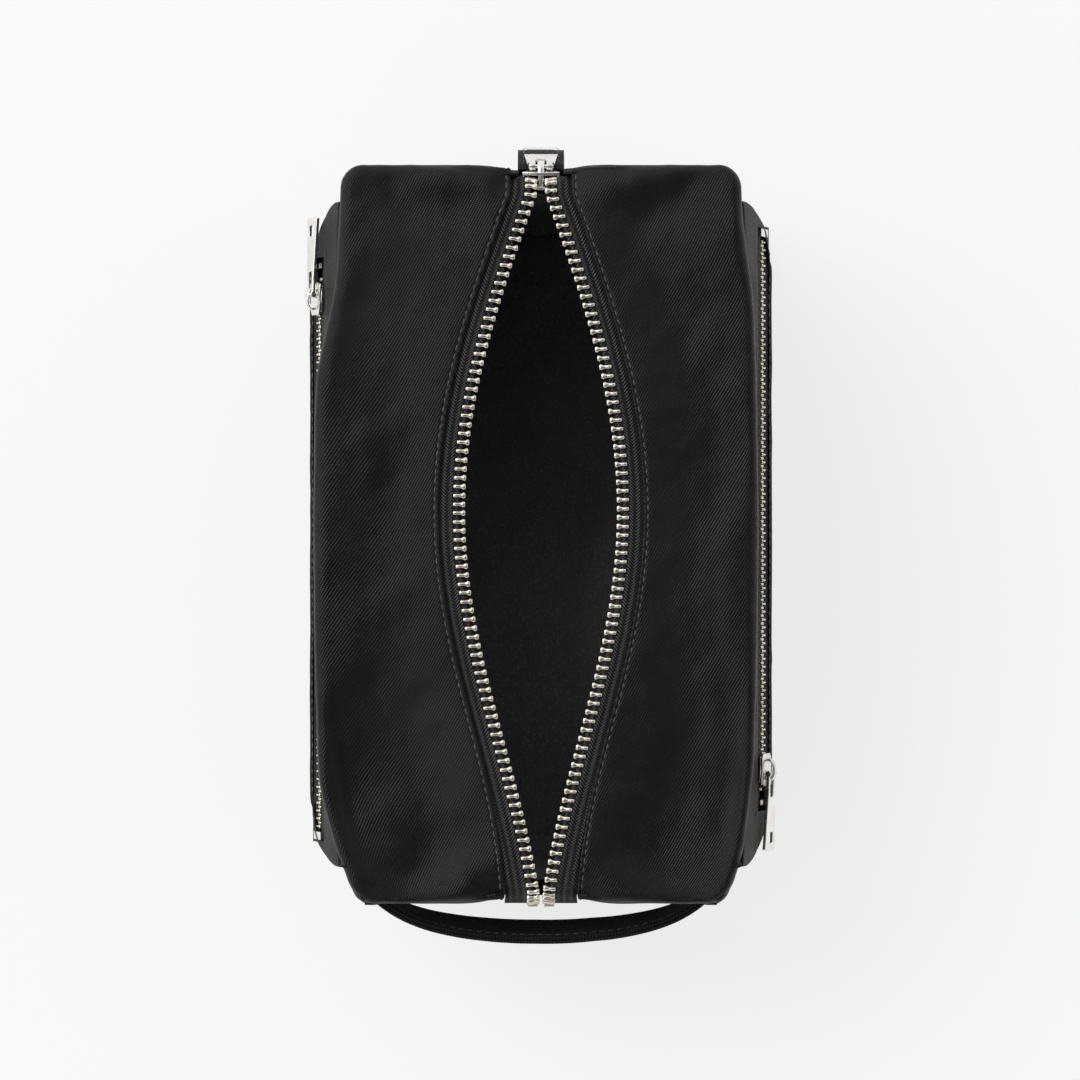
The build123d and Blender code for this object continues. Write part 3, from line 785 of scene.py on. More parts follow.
def sheetEdge(y):
    r, drop = bag["shoulder"], bag["skirt"] - bag["shoulder"]
    spare = drop + math.pi * r / 2 - r
    cx, cy = cornerCentre()
    if abs(y) <= cy:
        return planX(y) + spare
    return cx + math.sqrt(max((bag["corner"] + spare) ** 2 - (abs(y) - cy) ** 2, 0.0))


def topSurface(x, y, sign, above=0.0):
    # place, normal and closing share of a point of the flat top panel
    yHem = max(-bag["halfLength"], min(bag["halfLength"], y))
    hem = hemAt(yHem)
    fromHem = x - hem
    place, normal, reach = overShoulder(sign * x, y)
    width = max(4.0, sheetEdge(y) - hem)
    q = min(1.0, max(0.0, fromHem / width))
    lift = -top["hemRoll"] * math.exp(-((fromHem / 0.3) ** 2))
    lift += 0.12 * math.exp(-(((fromHem - 0.8) / 0.4) ** 2))
    lift -= 0.2 * math.exp(-(((fromHem - top["stitchFromHem"]) / 0.35) ** 2))
    flat = normal[2]
    lift -= top["sink"] * math.sin(math.pi * q) ** 1.3 * flat
    fold = ripple(sign * x * 1.5, y * 0.8, 0, top["foldSize"], 4 + sign)
    lift += top["folds"] * fold * (0.25 + 0.75 * math.sin(math.pi * q)) * flat
    corner = math.exp(-((bag["halfLength"] - abs(y)) / 34) ** 2) * math.sin(math.pi * q)
    droop = smoothStep(-y, *top["droopFrom"]) * (1 - 0.85 * smoothStep(-y, *top["droopTo"]))
    lift -= top["nearDroop"] * droop * smoothStep(q, 0.06, 0.5) * (1 - smoothStep(q, 0.8, 0.95)) * flat
    lift += 1.3 * corner * math.sin((x * 0.5 - abs(y) * 0.85) / 4.6 + 2.0 * ripple(x, y, 0, 40, 5)) * flat
    lift += 0.14 * ripple(sign * x * 0.5, y * 1.5, 0, 6.5, 6) * math.exp(-max(0.0, fromHem) / 7)
    lift += 0.16 * ripple(x * 1.3, y * 1.3, place[2], 8, 7) * math.exp(-max(0.0, reach) / 8)
    pull = zipPull(x, y)
    sinkEnd = top["endDip"] * pull * flat
    pushIn = walls["dip"] * pull * (1 - flat)
    lift += above
    inward = nearPinch(y) * smoothStep(q, 0.25, 1.0) - lean(sign, y) * smoothStep(q, 0.35, 0.95)
    place = (
        place[0] + normal[0] * lift - sign * inward,
        place[1] + normal[1] * lift - math.copysign(pushIn, y),
        place[2] + normal[2] * lift - sinkEnd,
    )
    return place, normal, hemShare(yHem) * (1 - q) ** 1.25


def topColumns(y):
    hem, edge = hemAt(max(-bag["halfLength"], min(bag["halfLength"], y))), sheetEdge(y)
    near = [0, 0.25, 0.5, 0.8, 1.1, 1.45, 1.75, 2.05, 2.5, 3.2]
    over = [0, 0.5, 1.0, 1.7, 2.4, 3.1, 3.8, 4.6, 5.5, 6.6]
    middle = list(np.linspace(hem + near[-1], edge - over[-1], 26))[1:-1]
    return [hem + d for d in near] + middle + [edge - d for d in reversed(over)]


def topRows():
    r, drop = bag["shoulder"], bag["skirt"] - bag["shoulder"]
    end = bag["halfLength"] + drop + math.pi * r / 2 - r
    return spread(-end, -96, 0.7) + spread(-96, 96, 1.5)[1:-1] + spread(96, end, 0.7)


def makeTop(side):
    sign = 1 if side == "right" else -1
    rows = topRows()
    points, uvs, share = [], [], []
    for y in rows:
        for x in topColumns(y):
            place, _, w = topSurface(x, y, sign)
            points.append(place)
            uvs.append((sign * x * mm, y * mm))
            share.append(w)
    columns = len(topColumns(0))
    piece = linkMesh("topPanel_" + side, points, gridFaces(len(rows), columns, flip=sign < 0), uvs, share)
    thicken(dress(piece, twillNylon), top["cloth"], -1.0)
    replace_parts(closeWith(piece), "top_panel_" + side)
    return piece


hemStitch = {"pitch": 2.75, "length": 1.8, "thick": 0.4, "proud": 0.05}
seamStitch = {"pitch": 2.75, "length": 1.8, "thick": 0.36, "proud": 0.04}


def topStitches(side):
    sign = 1 if side == "right" else -1
    line, normals, share = [], [], []
    for y in spread(-113, 113, 1.4):
        place, normal, w = topSurface(hemAt(y) + top["stitchFromHem"], y, sign)
        line.append(place)
        normals.append(normal)
        share.append(w)
    piece = stitchRow("hemStitches_" + side, line, normals, hemStitch, share, seed=11)
    closeWith(dress(piece, greyThread))


for side in ("left", "right"):
    makeTop(side)
    topStitches(side)
print("top panels made")


# lining

lining = {
    "inset": 4.2,
    "corner": 0.8,  # least radius of its corners
    "floor": 4.4,
    "roll": 9.0,
    "rim": 119.5,
    "belly": 2.2,  # how far its walls hang in
    "bellyAt": 70,
    "folds": 1.1,
    "cloth": 0.5,
}


def drawnIn(x, y, nx, ny, depth):
    # a place of the plan moved inwards, with its corners still round
    r = max(bag["corner"] - depth, lining["corner"])
    farX, farY = planX(y) - depth, bag["halfLength"] - depth
    px = farX - r * (1 - abs(nx)) if abs(nx) > 1e-6 else min(abs(x), farX - r)
    py = farY - r * (1 - abs(ny)) if abs(ny) > 1e-6 else min(abs(y), farY - r)
    return math.copysign(px, x), math.copysign(py, y)


def makeLining():
    loop = planLoop()[::2]
    rows = [("floor", f) for f in (0.1, 0.25, 0.4, 0.55, 0.7, 0.82, 0.92, 1.0)]
    rows += [("roll", math.radians(a)) for a in (15, 30, 45, 60, 75)]
    rows += [("wall", z) for z in spread(lining["floor"] + lining["roll"], lining["rim"], 3.0)]
    points, uvs = [], []
    run = np.cumsum([0.0] + [math.dist(a[:2], b[:2]) for a, b in zip(loop, loop[1:] + loop[:1])])
    for kind, value in rows:
        for j, (x, y, nx, ny) in enumerate(loop):
            inset, z, f = lining["inset"], value, 1.0
            if kind == "floor":
                inset, z, f = lining["inset"] + lining["roll"], lining["floor"], value
            if kind == "roll":
                inset += lining["roll"] * (1 - math.sin(value))
                z = lining["floor"] + lining["roll"] * (1 - math.cos(value))
            px, py = drawnIn(x, y, nx, ny, inset)
            px, py = px * f, py * f
            crease = ripple(px, py, z, 38, 8) + 0.5 * ripple(px * 1.5, py * 1.5, z * 0.5, 16, 9)
            if kind == "floor":
                points.append((px, py, z + 0.5 * crease + 0.5))
                uvs.append((px * mm, py * mm))
                continue
            hang = lining["belly"] * math.exp(-(((z - lining["bellyAt"]) / 30) ** 2))
            hang += lining["folds"] * crease * smoothStep(z, 6, 30)
            hang = max(-0.4, hang + 0.6)
            points.append((*drawnIn(x, y, nx, ny, inset + hang), z))
            uvs.append((run[j] * mm, z * mm))
    columns = len(loop)

    def kept(i, j):
        x, y = loop[j][0], loop[j][1]
        half, floor = walls["farNotch"] if y > 0 else walls["nearNotch"]
        flat = abs(abs(y) - bag["halfLength"]) < 0.01
        return rows[i][0] != "wall" or not (flat and abs(x) < half + 5 and rows[i][1] >= floor - 6)

    faces = gridFaces(len(rows), columns, closed=True, flip=True, keep=kept)
    points.append((0, 0, lining["floor"] + 0.5))
    uvs.append((0, 0))
    faces += [(len(points) - 1, j, (j + 1) % columns) for j in range(columns)]
    piece = linkMesh("lining", points, faces, uvs, wrap=run[-1] * mm)
    piece.modifiers.new("weld", "WELD").merge_threshold = 0.02 * mm
    return thicken(dress(piece, liningCloth), lining["cloth"], -1.0)


liningPiece = makeLining()
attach(liningPiece, "bag")
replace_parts(liningPiece, "lining_left", "lining_right", "lining_far", "lining_near", "base_lining")
print("lining made")


# main zip: tapes and rows of teeth


def tapeEdge(s):
    y = chainPoint(s)[0]
    under = mainZip["underHem"] * smoothStep(y, -110.5, -104)
    return hemAt(y) + under - 0.2 * (1 - smoothStep(y, -112, -108))


def makeTape(side):
    sign = 1 if side == "right" else -1
    farEnd, nearStart, nearEnd = (round(s, 1) for s in (-farArc, topRun, topRun + nearArc))
    stations = spread(chainStart, farEnd, 1.0) + spread(farEnd, 0, 0.5)[1:]
    stations += spread(0, nearStart, 1.8)[1:]
    stations += spread(nearStart, nearEnd, 0.8)[1:] + spread(nearEnd, chainEnd, 1.0)[1:]
    points, uvs, share = [], [], []
    columns = 9
    for s in stations:
        inner, outer = tipsAt(s) + 2.0, tapeEdge(s)
        for k in range(columns):
            x = inner + (outer - inner) * k / (columns - 1)
            aside = k / (columns - 1)
            px, py, pz = onChain(s, sign * x, 0.1 * ripple(x, s, 0, 9, 10 + sign) * aside)
            reach = max(0.0, min(3.2, bag["halfLength"] - 1.7 - py)) * smoothStep(-s, 0.0, 6.0)
            sink = top["endDip"] * zipPull(px, py) * aside * (1 - smoothStep(abs(py), 108, 113))
            points.append((px, py + reach * aside**1.2, pz - sink))
            uvs.append(((x - inner) * mm, s * mm))
            share.append(rowShare(s))
    piece = linkMesh("zipTape_" + side, points, gridFaces(len(stations), columns, flip=sign > 0), uvs, share)
    thicken(dress(piece, zipTape), mainZip["tape"], 0.0)
    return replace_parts(closeWith(piece), "main_tape_" + side)


teeth = {"turnShare": 0.3, "looseness": 0.025, "seed": 5}


def makeTeeth(side):
    sign = 1 if side == "right" else -1
    phase = 0.0 if side == "right" else 0.5
    places = []
    for i in range(int((chainEnd - chainStart - 6) / mainZip["pitch"])):
        s = chainStart + 4 + (i + phase) * mainZip["pitch"]
        at = onChain(s, sign * tipsAt(s))
        before, after = Vector(onChain(s - 0.5, tipsAt(s - 0.5))), Vector(onChain(s + 0.5, tipsAt(s + 0.5)))
        run = (after - before).normalized()
        turn = teeth["turnShare"] if s > 0 else 0.0
        along = Vector((1, 0, 0)) - turn * run.x * run
        tip = chainPoint(s)[2]
        up = (0, math.sin(tip), math.cos(tip))
        places.append((at, eulerOf((sign * along.x, along.y, along.z), up), rowShare(s)))
    size = (mainZip["toothLength"] + 0.3, mainZip["toothWidth"], mainZip["toothHeight"])
    loose, seed = teeth["looseness"], teeth["seed"]
    piece = setAlong("zipTeeth_" + side, toothPattern, places, size, warmNickel, loose, seed)
    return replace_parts(closeWith(piece), "main_teeth_" + side)


for side in ("left", "right"):
    makeTape(side)
    makeTeeth(side)
print("main zip made")


# a side pocket, described for the right-hand one

pocket = {
    "halfLength": 102.0,
    "out": high("pocket_panel_right", 0),
    "corner": 9.0,
    "bottom": 8.0,
    "chainX": 68.6,
    "chainZ": 103.5,
    "slope": math.radians(65),
    "chainFar": 94.0,
    "chainNear": -84.0,
    "slotFar": 95.2,
    "slotNear": -86.0,
    "slot": 5.0,
    "sliderY": -73.0,
    "faceUp": 1.25,
    "cloth": 1.0,
    "swell": 1.5,
    "creases": 0.6,
    "highest": -18.3,  # how far up the slope the facing goes
    "taper": 4.6,
    "sliderTaper": 6.2,
    "lowStitch": 1.3,  # rows of stitches, from the slot's edges
    "lowStitchEnd": 82,
    "highStitch": 1.7,
}


# metal parts: sliders cast in one piece, pullers with worn, rounded edges


def roundedCopy(node, body, width, material):
    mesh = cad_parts[node].data.copy()
    work = bmesh.new()
    work.from_mesh(mesh)
    bmesh.ops.remove_doubles(work, verts=work.verts, dist=2e-6)
    bmesh.ops.dissolve_limit(work, angle_limit=math.radians(3), verts=work.verts, edges=work.edges)
    work.to_mesh(mesh)
    work.free()
    piece = newObject(node + "_cast", mesh)
    bevelEdges(piece, width, 38, 3)
    applyModifiers(piece)
    piece.data.polygons.foreach_set("use_smooth", [True] * len(piece.data.polygons))
    piece.data.set_sharp_from_angle(angle=math.radians(42))
    dress(piece, material)
    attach(piece, body)
    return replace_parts(piece, node)


def castPlate(outline, lowZ, highZ):
    # flat casting on an outline
    count = len(outline)
    points = [(x, y, lowZ) for x, y in outline] + [(x, y, highZ) for x, y in outline]
    faces = [tuple(reversed(range(count))), tuple(range(count, 2 * count))]
    faces += [(i, (i + 1) % count, count + (i + 1) % count, count + i) for i in range(count)]
    return points, faces


def castArch(path, width, thick):
    # round-edged bar along a path of (y, z)
    points, ring = [], 10
    for i, (y, z) in enumerate(path):
        before, after = path[max(0, i - 1)], path[min(len(path) - 1, i + 1)]
        size = math.dist(before, after)
        ny, nz = -(after[1] - before[1]) / size, (after[0] - before[0]) / size
        swell = 0.8 + 0.2 * math.sin(math.pi * i / (len(path) - 1))
        for k in range(ring):
            a = 2 * math.pi * k / ring
            side = math.copysign(abs(math.cos(a)) ** 0.7, math.cos(a)) * width / 2 * swell
            rise = math.copysign(abs(math.sin(a)) ** 0.7, math.sin(a)) * thick / 2
            points.append((side, y + ny * rise, z + nz * rise))
    faces = gridFaces(len(path), ring, closed=True)
    faces += [tuple(range(ring)), tuple(reversed(range(len(points) - ring, len(points))))]
    return points, faces


def castSlider(node, body, seat, size):
    # nose to -Y and chain mid-plane at z = 0 in the slider's own frame
    half, nose, tail, inside = size["half"], size["nose"], size["tail"], size["gap"] / 2
    plan = []
    for k in range(13):  # bowed nose
        u = -1 + k / 6
        plan.append((u * nose, -half - 0.7 * (1 - u * u) + 0.25))
    plan += [(nose - 0.1, -half * 0.55), (nose - 0.7, -half * 0.2), (tail + 0.15, half * 0.3)]
    plan += [(tail, half * 0.75), (tail - 0.9, half)]
    plan += [(-x, y) for x, y in reversed(plan[13:])]
    upper, rim = inside + size["wing"], size["rim"]
    bodies = [castPlate(plan, inside, upper), castPlate(plan, -upper, -inside)]
    for sign in (-1, 1):
        lip = [(sign * nose, -half * 0.7), (sign * (tail + 0.15), half * 0.3), (sign * tail, half * 0.8)]
        lip += [(sign * (tail - rim), half * 0.8), (sign * (tail + 0.15 - rim), half * 0.3)]
        lip.append((sign * (nose - rim), -half * 0.7))
        lip = lip[::-1] if sign < 0 else lip
        bodies += [castPlate(lip, inside * 0.36, inside + 0.2), castPlate(lip, -inside - 0.2, -inside * 0.36)]
    thick = size["divider"]
    wedge = [(-thick, -half), (thick, -half), (thick * 0.7, -half * 0.55), (0.25, -half * 0.4)]
    wedge += [(-0.25, -half * 0.4), (-thick * 0.7, -half * 0.55)]
    bodies.append(castPlate(wedge, -upper, upper))
    crown, seatZ = size["crown"] - 0.5, upper - 0.2
    path = []
    for k in range(15):
        a = math.pi * k / 14
        path.append((-0.3 - (half - 1.7) * math.cos(a), seatZ + (crown - seatZ) * math.sin(a) ** 0.55))
    bodies.append(castArch(path, size["crownWidth"], 1.0))
    points, faces = [], []
    for more, sides in bodies:
        faces += [tuple(i + len(points) for i in f) for f in sides]
        points += more
    piece = linkMesh(node + "_cast", [tuple(seat @ Vector(p)) for p in points], faces)
    bevelEdges(piece, size["round"], 40, 3)
    applyModifiers(piece)
    faceOutwards(piece.data)
    piece.data.set_sharp_from_angle(angle=math.radians(45))
    dress(piece, brightNickel)
    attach(piece, body)
    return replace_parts(piece, node)


bigSlider = {
    "half": 6.0, "nose": 5.8, "tail": 4.3, "gap": 3.4, "wing": 1.0, "rim": 0.7, "divider": 0.8,
    "crown": 5.95, "crownWidth": 2.3, "round": 0.3,
}
smallSlider = {
    "half": 4.8, "nose": 4.3, "tail": 3.5, "gap": 2.4, "wing": 0.8, "rim": 0.6, "divider": 0.5,
    "crown": 4.95, "crownWidth": 1.8, "round": 0.22,
}
seatY, seatZ, seatTip = chainPoint(sliderS)
bigSeat = Matrix.Translation((0, seatY, seatZ)) @ Matrix.Rotation(-seatTip, 4, "X")
castSlider("main_slider", "slider", bigSeat, bigSlider)
roundedCopy("main_puller", "puller", 0.3, brightNickel)
for side in ("left", "right"):
    smallSeat = Matrix.Translation((pocket["chainX"], pocket["sliderY"], pocket["chainZ"]))
    smallSeat = smallSeat @ Matrix.Rotation(pocket["slope"], 4, "Y")
    halfTurn = Matrix.Identity(4) if side == "right" else Matrix.Rotation(math.pi, 4, "Z")
    castSlider("pocket_slider_" + side, "pocket_slider_" + side, halfTurn @ smallSeat, smallSlider)
    roundedCopy("pocket_puller_" + side, "pocket_puller_" + side, 0.25, brightNickel)
plainMetal = ["main_slider_pin", "main_bottom_stop", "main_top_stops"]
plainMetal += ["pocket_stops_left", "pocket_stops_right"]
for node in plainMetal:
    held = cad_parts[node]
    held.data.materials.clear()
    held.data.materials.append(brightNickel)
print("metal parts finished")


# straps: the handle and the pull tab


def strap(name, centre, width, thickness, columns=9):
    # band along a line of (point, across, normal), rounded at its edges
    points, uvs, run, last = [], [], 0.0, None
    for at, across, _ in centre:
        run += math.dist(at, last) if last is not None else 0.0
        last = at
        for k in range(columns):
            w = width * (k / (columns - 1) - 0.5)
            points.append(tuple(a + b * w for a, b in zip(at, across)))
            uvs.append((w * mm, run * mm))
    piece = linkMesh(name, points, gridFaces(len(centre), columns), uvs)
    dress(piece, strapWebbing)
    return thicken(piece, thickness, 0.0, bevel=thickness * 0.3)


handle = {
    "span": 50.0,
    "foot": 55.0,
    "bow": 10.6,
    "layer": 1.2,
    "lowZ": low("handle_inner", 2),
    "highZ": high("handle_inner", 2),
    "lean": math.tan(math.radians(8)),
    "stitchIn": 2.2,
    "footRows": (50.6, 53.6),
}


def handleLine(standOff):
    # middle of one layer: point, across, outward normal
    line = []
    xs = spread(-handle["foot"], handle["foot"], 1.5, (-handle["span"], handle["span"]))
    middle = (handle["lowZ"] + handle["highZ"]) / 2

    def bowAt(x):
        u = min(1.0, abs(x) / handle["span"])
        return handle["bow"] * (1 - 0.62 * u**2.1 - 0.38 * u**6)

    for x in xs:
        slope = (bowAt(x + 0.1) - bowAt(x - 0.1)) / 0.2
        size = math.hypot(1, slope)
        nx, ny = -slope / size, -1 / size
        free = bowAt(x) / handle["bow"]
        lean = -handle["lean"] * free
        y = -bag["halfLength"] - bowAt(x) + ny * standOff
        wave = 0.25 * ripple(x, 0, 0, 24, 13) * free
        line.append(((x + nx * standOff, y + wave, middle), (0.0, lean, 1.0), (nx, ny, 0.0)))
    return line


def makeHandle():
    for name, offset, node in (("handleInner", 0.5, "handle_inner"), ("handleOuter", 1.5, "handle_outer")):
        line = handleLine(handle["layer"] * offset)
        height = handle["highZ"] - handle["lowZ"]
        piece = strap(name, line, height, handle["layer"])
        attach(piece, "bag")
        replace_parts(piece, node)
    half = (handle["highZ"] - handle["lowZ"]) / 2
    for face, offset in (("out", 2.0), ("in", 0.0)):
        for edge, rise in (("low", -half + handle["stitchIn"]), ("high", half - handle["stitchIn"])):
            line, normals = [], []
            for at, across, normal in handleLine(handle["layer"] * offset):
                if abs(at[0]) > handle["span"] - 1 and face == "in":
                    continue
                line.append(tuple(a + b * rise for a, b in zip(at, across)))
                normals.append(normal if face == "out" else tuple(-n for n in normal))
            piece = stitchRow("handleStitch_" + face + "_" + edge, line, normals, hemStitch, seed=14)
            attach(dress(piece, greyThread), "bag")
    outside = -bag["halfLength"] - 2 * handle["layer"]
    for sign, name in ((-1, "left"), (1, "right")):
        for k, x in enumerate(handle["footRows"]):
            line = [(sign * x, outside, z) for z in spread(handle["lowZ"] + 2, handle["highZ"] - 2, 2)]
            outwards = [(0, -1, 0)] * len(line)
            piece = stitchRow("handleFoot_" + name + str(k), line, outwards, hemStitch, seed=15)
            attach(dress(piece, greyThread), "bag")


makeHandle()

tab = {
    "width": 14.4,
    "layer": 1.1,
    "stitchIn": 1.8,
    "wallY": bag["halfLength"],
    "outY": high("far_tab", 1),
    "top": high("far_tab", 2),
    "end": low("far_tab", 2),
}


def makeTab():
    # strap folded over at its lower end: one layer outside, the other back to the wall
    wall, out, upper, lower = tab["wallY"], tab["outY"], tab["top"], tab["end"]
    path = [(wall - 0.6, upper + 1.0), (wall + 1.4, upper - 0.6), (wall + 2.3, upper - 3)]
    path += [(out - 1.5, (upper + lower) / 2 + 1), (out - 0.9, lower + 3), (out - 0.7, lower + 1.0)]
    path += [(out - 1.5, lower + 0.5), (out - 2.2, lower + 1.6)]
    path += [(wall + 1.2, lower + 6), (wall - 0.4, lower + 8)]
    dense = []
    for a, b in zip(path, path[1:]):
        dense += [tuple(np.array(a) + (np.array(b) - np.array(a)) * k / 4) for k in range(4)]
    dense.append(path[-1])
    for _ in range(3):  # smoothed, with its ends held
        line = np.array(dense)
        line[1:-1] = (line[:-2] + 2 * line[1:-1] + line[2:]) / 4
        dense = [tuple(p) for p in line]
    line = [((0, y, z), (1.0, 0.0, 0.0), (0, 1, 0)) for y, z in dense]
    piece = strap("pullTab", line, tab["width"], tab["layer"])
    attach(piece, "bag")
    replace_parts(piece, "far_tab")
    return dense


tabLine = makeTab()
for sign, name in ((-1, "left"), (1, "right")):
    inward = sign * (tab["width"] / 2 - tab["stitchIn"])
    line = [(inward, y + tab["layer"] / 2, z) for y, z in tabLine[5:20]]
    piece = stitchRow("tabStitch_" + name, line, [(0, 0.97, 0.2)] * len(line), hemStitch, seed=16)
    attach(dress(piece, greyThread), "bag")
print("straps made")


# side pockets: panel, facing and zip

smallTooth = {
    "length": 2.3,
    "width": 1.1,
    "height": 1.8,
    "pitch": 2.45,
    "interlock": 0.5,
    "parted": 0.8,
    "tape": 0.5,
    "tapeEdge": 5.9,
}


def put(side, p):
    return tuple(p) if side == "right" else (-p[0], -p[1], p[2])


def onSlope(y, across=0.0, up=0.0):
    c, s = math.cos(pocket["slope"]), math.sin(pocket["slope"])
    return (pocket["chainX"] + across * c + up * s, y, pocket["chainZ"] - across * s + up * c)


def acrossAt(x, up):
    return (x - pocket["chainX"] - up * math.sin(pocket["slope"])) / math.cos(pocket["slope"])


def pocketX(y):
    flat = pocket["halfLength"] - pocket["corner"]
    if abs(y) <= flat:
        return pocket["out"] - pocketTaper(y)
    rest = pocket["corner"] ** 2 - (abs(y) - flat) ** 2
    return pocket["out"] - pocket["corner"] + math.sqrt(max(rest, 0.0)) - pocketTaper(y)


def pocketTaper(y):
    # shallower towards its ends
    start, depth = (80, pocket["taper"]) if y > 0 else (76, pocket["sliderTaper"])
    u = min(1.0, max(0.0, (abs(y) - start) / (pocket["halfLength"] - start)))
    return depth * (u**1.5 - 0.35 * u**6)


def pocketPath():
    half, r, out = pocket["halfLength"], pocket["corner"], pocket["out"]
    flat, inner = half - r, planX(half) - 1.5
    path = [(x, -half, 0.0, -1.0) for x in spread(inner, out - r, 1.2)[:-1]]
    arc = np.linspace(0, math.pi / 2, 12)
    path += [(out - r + r * math.sin(a), -flat - r * math.cos(a), math.sin(a), -math.cos(a)) for a in arc]
    path += [(out, y, 1.0, 0.0) for y in spread(-flat, flat, 1.9)[1:-1]]
    path += [(out - r + r * math.cos(a), flat + r * math.sin(a), math.cos(a), math.sin(a)) for a in arc]
    path += [(x, half, 0.0, 1.0) for x in spread(out - r, inner, 1.2)[1:]]
    return path


def pocketBulge(x, y, nx, z, seed):
    middle = max(0.0, 1 - (abs(y) / pocket["halfLength"]) ** 4)
    rise = (z - pocket["bottom"]) / 88
    belly = math.sin(math.pi * min(1.0, max(0.0, rise))) ** 0.8
    out = -pocketTaper(y) * nx + pocket["swell"] * middle * belly
    out += pocket["creases"] * ripple(x, y, z, 30, seed) * math.sin(math.pi * min(1, max(0.02, rise))) ** 0.5
    edges = math.exp(-(z - 8) / 12) + math.exp(-max(0.0, 97 - z) / 9)
    out += 0.25 * ripple(x, y * 1.5, z * 0.5, 10, seed + 1) * edges
    return out


def makePocketPanel(side):
    seed = 20 if side == "right" else 24
    path = pocketPath()
    roll, bottom = 3.5, pocket["bottom"]
    run = np.cumsum([0.0] + [math.dist(a[:2], b[:2]) for a, b in zip(path, path[1:])])
    rows = [("floor", f) for f in (0.0, 0.35, 0.7, 1.0)] + [("roll", math.radians(a)) for a in (22, 45, 68)]
    rows += [("wall", f) for f in np.linspace(0, 1, 44)] + [("lip", 0.7), ("lip", 1.4)]
    points, uvs = [], []
    for kind, value in rows:
        for j, (x, y, nx, ny) in enumerate(path):
            ceiling = onSlope(y, acrossAt(x, pocket["faceUp"]), pocket["faceUp"])[2] - 0.3
            inset, z = 0.0, bottom + roll + (ceiling - bottom - roll) * value
            if kind == "floor":
                inner = min(x, planX(y) - 1.5)
                out = pocketBulge(x, y, nx, bottom, seed) - roll
                ex, ey = x + nx * out, y + ny * out
                points.append(put(side, (inner + (max(ex, inner) - inner) * value, ey, bottom)))
                uvs.append((run[j] * mm, (bottom - 9 * (1 - value)) * mm))
                continue
            if kind == "roll":
                inset, z = roll * (1 - math.sin(value)), bottom + roll * (1 - math.cos(value))
            if kind == "lip":
                inset, z = value, ceiling - 0.35 * value
            out = pocketBulge(x, y, nx, z, seed) - inset
            points.append(put(side, (x + nx * out, y + ny * out, z)))
            uvs.append((run[j] * mm, z * mm))
    piece = linkMesh("pocketPanel_" + side, points, gridFaces(len(rows), len(path)), uvs)
    thicken(dress(piece, pocketNylon), pocket["cloth"], -1.0)
    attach(piece, "bag")
    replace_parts(piece, "pocket_panel_" + side)


def facingAcross(y):
    # places across the facing: outer part, gap for the zip, upper part
    outerEdge = acrossAt(pocketX(y) + 0.25, pocket["faceUp"])
    upper = max(pocket["highest"], acrossAt(planX(y) - 0.9, pocket["faceUp"]))
    end = pocket["slotFar"] if y > 0 else pocket["slotNear"]
    gapLow, gapHigh = min(pocket["slot"], outerEdge - 0.8), -pocket["slot"]
    if y > pocket["slotFar"] or y < pocket["slotNear"]:
        full = acrossAt(pocketX(end) + 0.25, pocket["faceUp"])
        share = (outerEdge - upper) / (full - upper)
        gapLow = upper + (min(pocket["slot"], full - 0.8) - upper) * share
        gapHigh = upper + (gapHigh - upper) * share
    lower = [outerEdge + (gapLow - outerEdge) * k / 4 for k in range(5)]
    lower[3] = gapLow + 0.35 * (lower[3] - gapLow)
    rest = [0, 0.07, 0.18, 0.3, 0.45, 0.6, 0.8, 1.0]
    return lower + [gapHigh + (upper - gapHigh) * f for f in rest]


def facingPoint(side, y, across, seed):
    inSlot = pocket["slotNear"] - 0.1 <= y <= pocket["slotFar"] + 0.1
    edge = abs(abs(across) - pocket["slot"]) if inSlot else 9
    up = pocket["faceUp"] - 0.5 * math.exp(-((edge / 0.4) ** 2))
    up -= 0.2 * math.exp(-(((edge - 1.6) / 0.5) ** 2))
    up += 0.22 * ripple(across, y, 0, 12, seed)
    return put(side, onSlope(y, across, up))


def makeFacing(side):
    seed = 22 if side == "right" else 26
    ys = spread(-pocket["halfLength"] + 0.2, -93, 0.7) + spread(-93, 93, 1.8, (pocket["slotNear"],))[1:-1]
    ys += spread(93, pocket["halfLength"] - 0.2, 0.7, (pocket["slotFar"],))
    points, uvs = [], []
    for y in ys:
        for across in facingAcross(y):
            points.append(facingPoint(side, y, across, seed))
            uvs.append((across * mm, y * mm))

    def kept(i, j):
        inGap = ys[i] >= pocket["slotNear"] - 0.01 and ys[i + 1] <= pocket["slotFar"] + 0.01
        return not (inGap and j == 4)

    faces = gridFaces(len(ys), len(facingAcross(0)), flip=True, keep=kept)
    piece = linkMesh("pocketFacing_" + side, points, faces, uvs)
    thicken(dress(piece, pocketNylon), pocket["cloth"], -1.0)
    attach(piece, "bag")
    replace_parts(piece, "pocket_facing_" + side)
    slopeUp = put(side, (math.sin(pocket["slope"]), 0, math.cos(pocket["slope"])))
    rows = (
        ("low", pocket["slot"] + pocket["lowStitch"], pocket["slotNear"], pocket["lowStitchEnd"]),
        ("high", -pocket["slot"] - pocket["highStitch"], pocket["slotNear"] - 2, pocket["slotFar"] + 1),
    )
    for name, across, start, end in rows:
        line = []
        for y in spread(start, end, 1.6):
            inside = acrossAt(pocketX(y) - 0.4, pocket["faceUp"])
            line.append(facingPoint(side, y, min(across, inside), seed))
        row = stitchRow("pocketStitch_" + side + "_" + name, line, [slopeUp] * len(line), seamStitch, seed=27)
        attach(dress(row, greyThread), "bag")


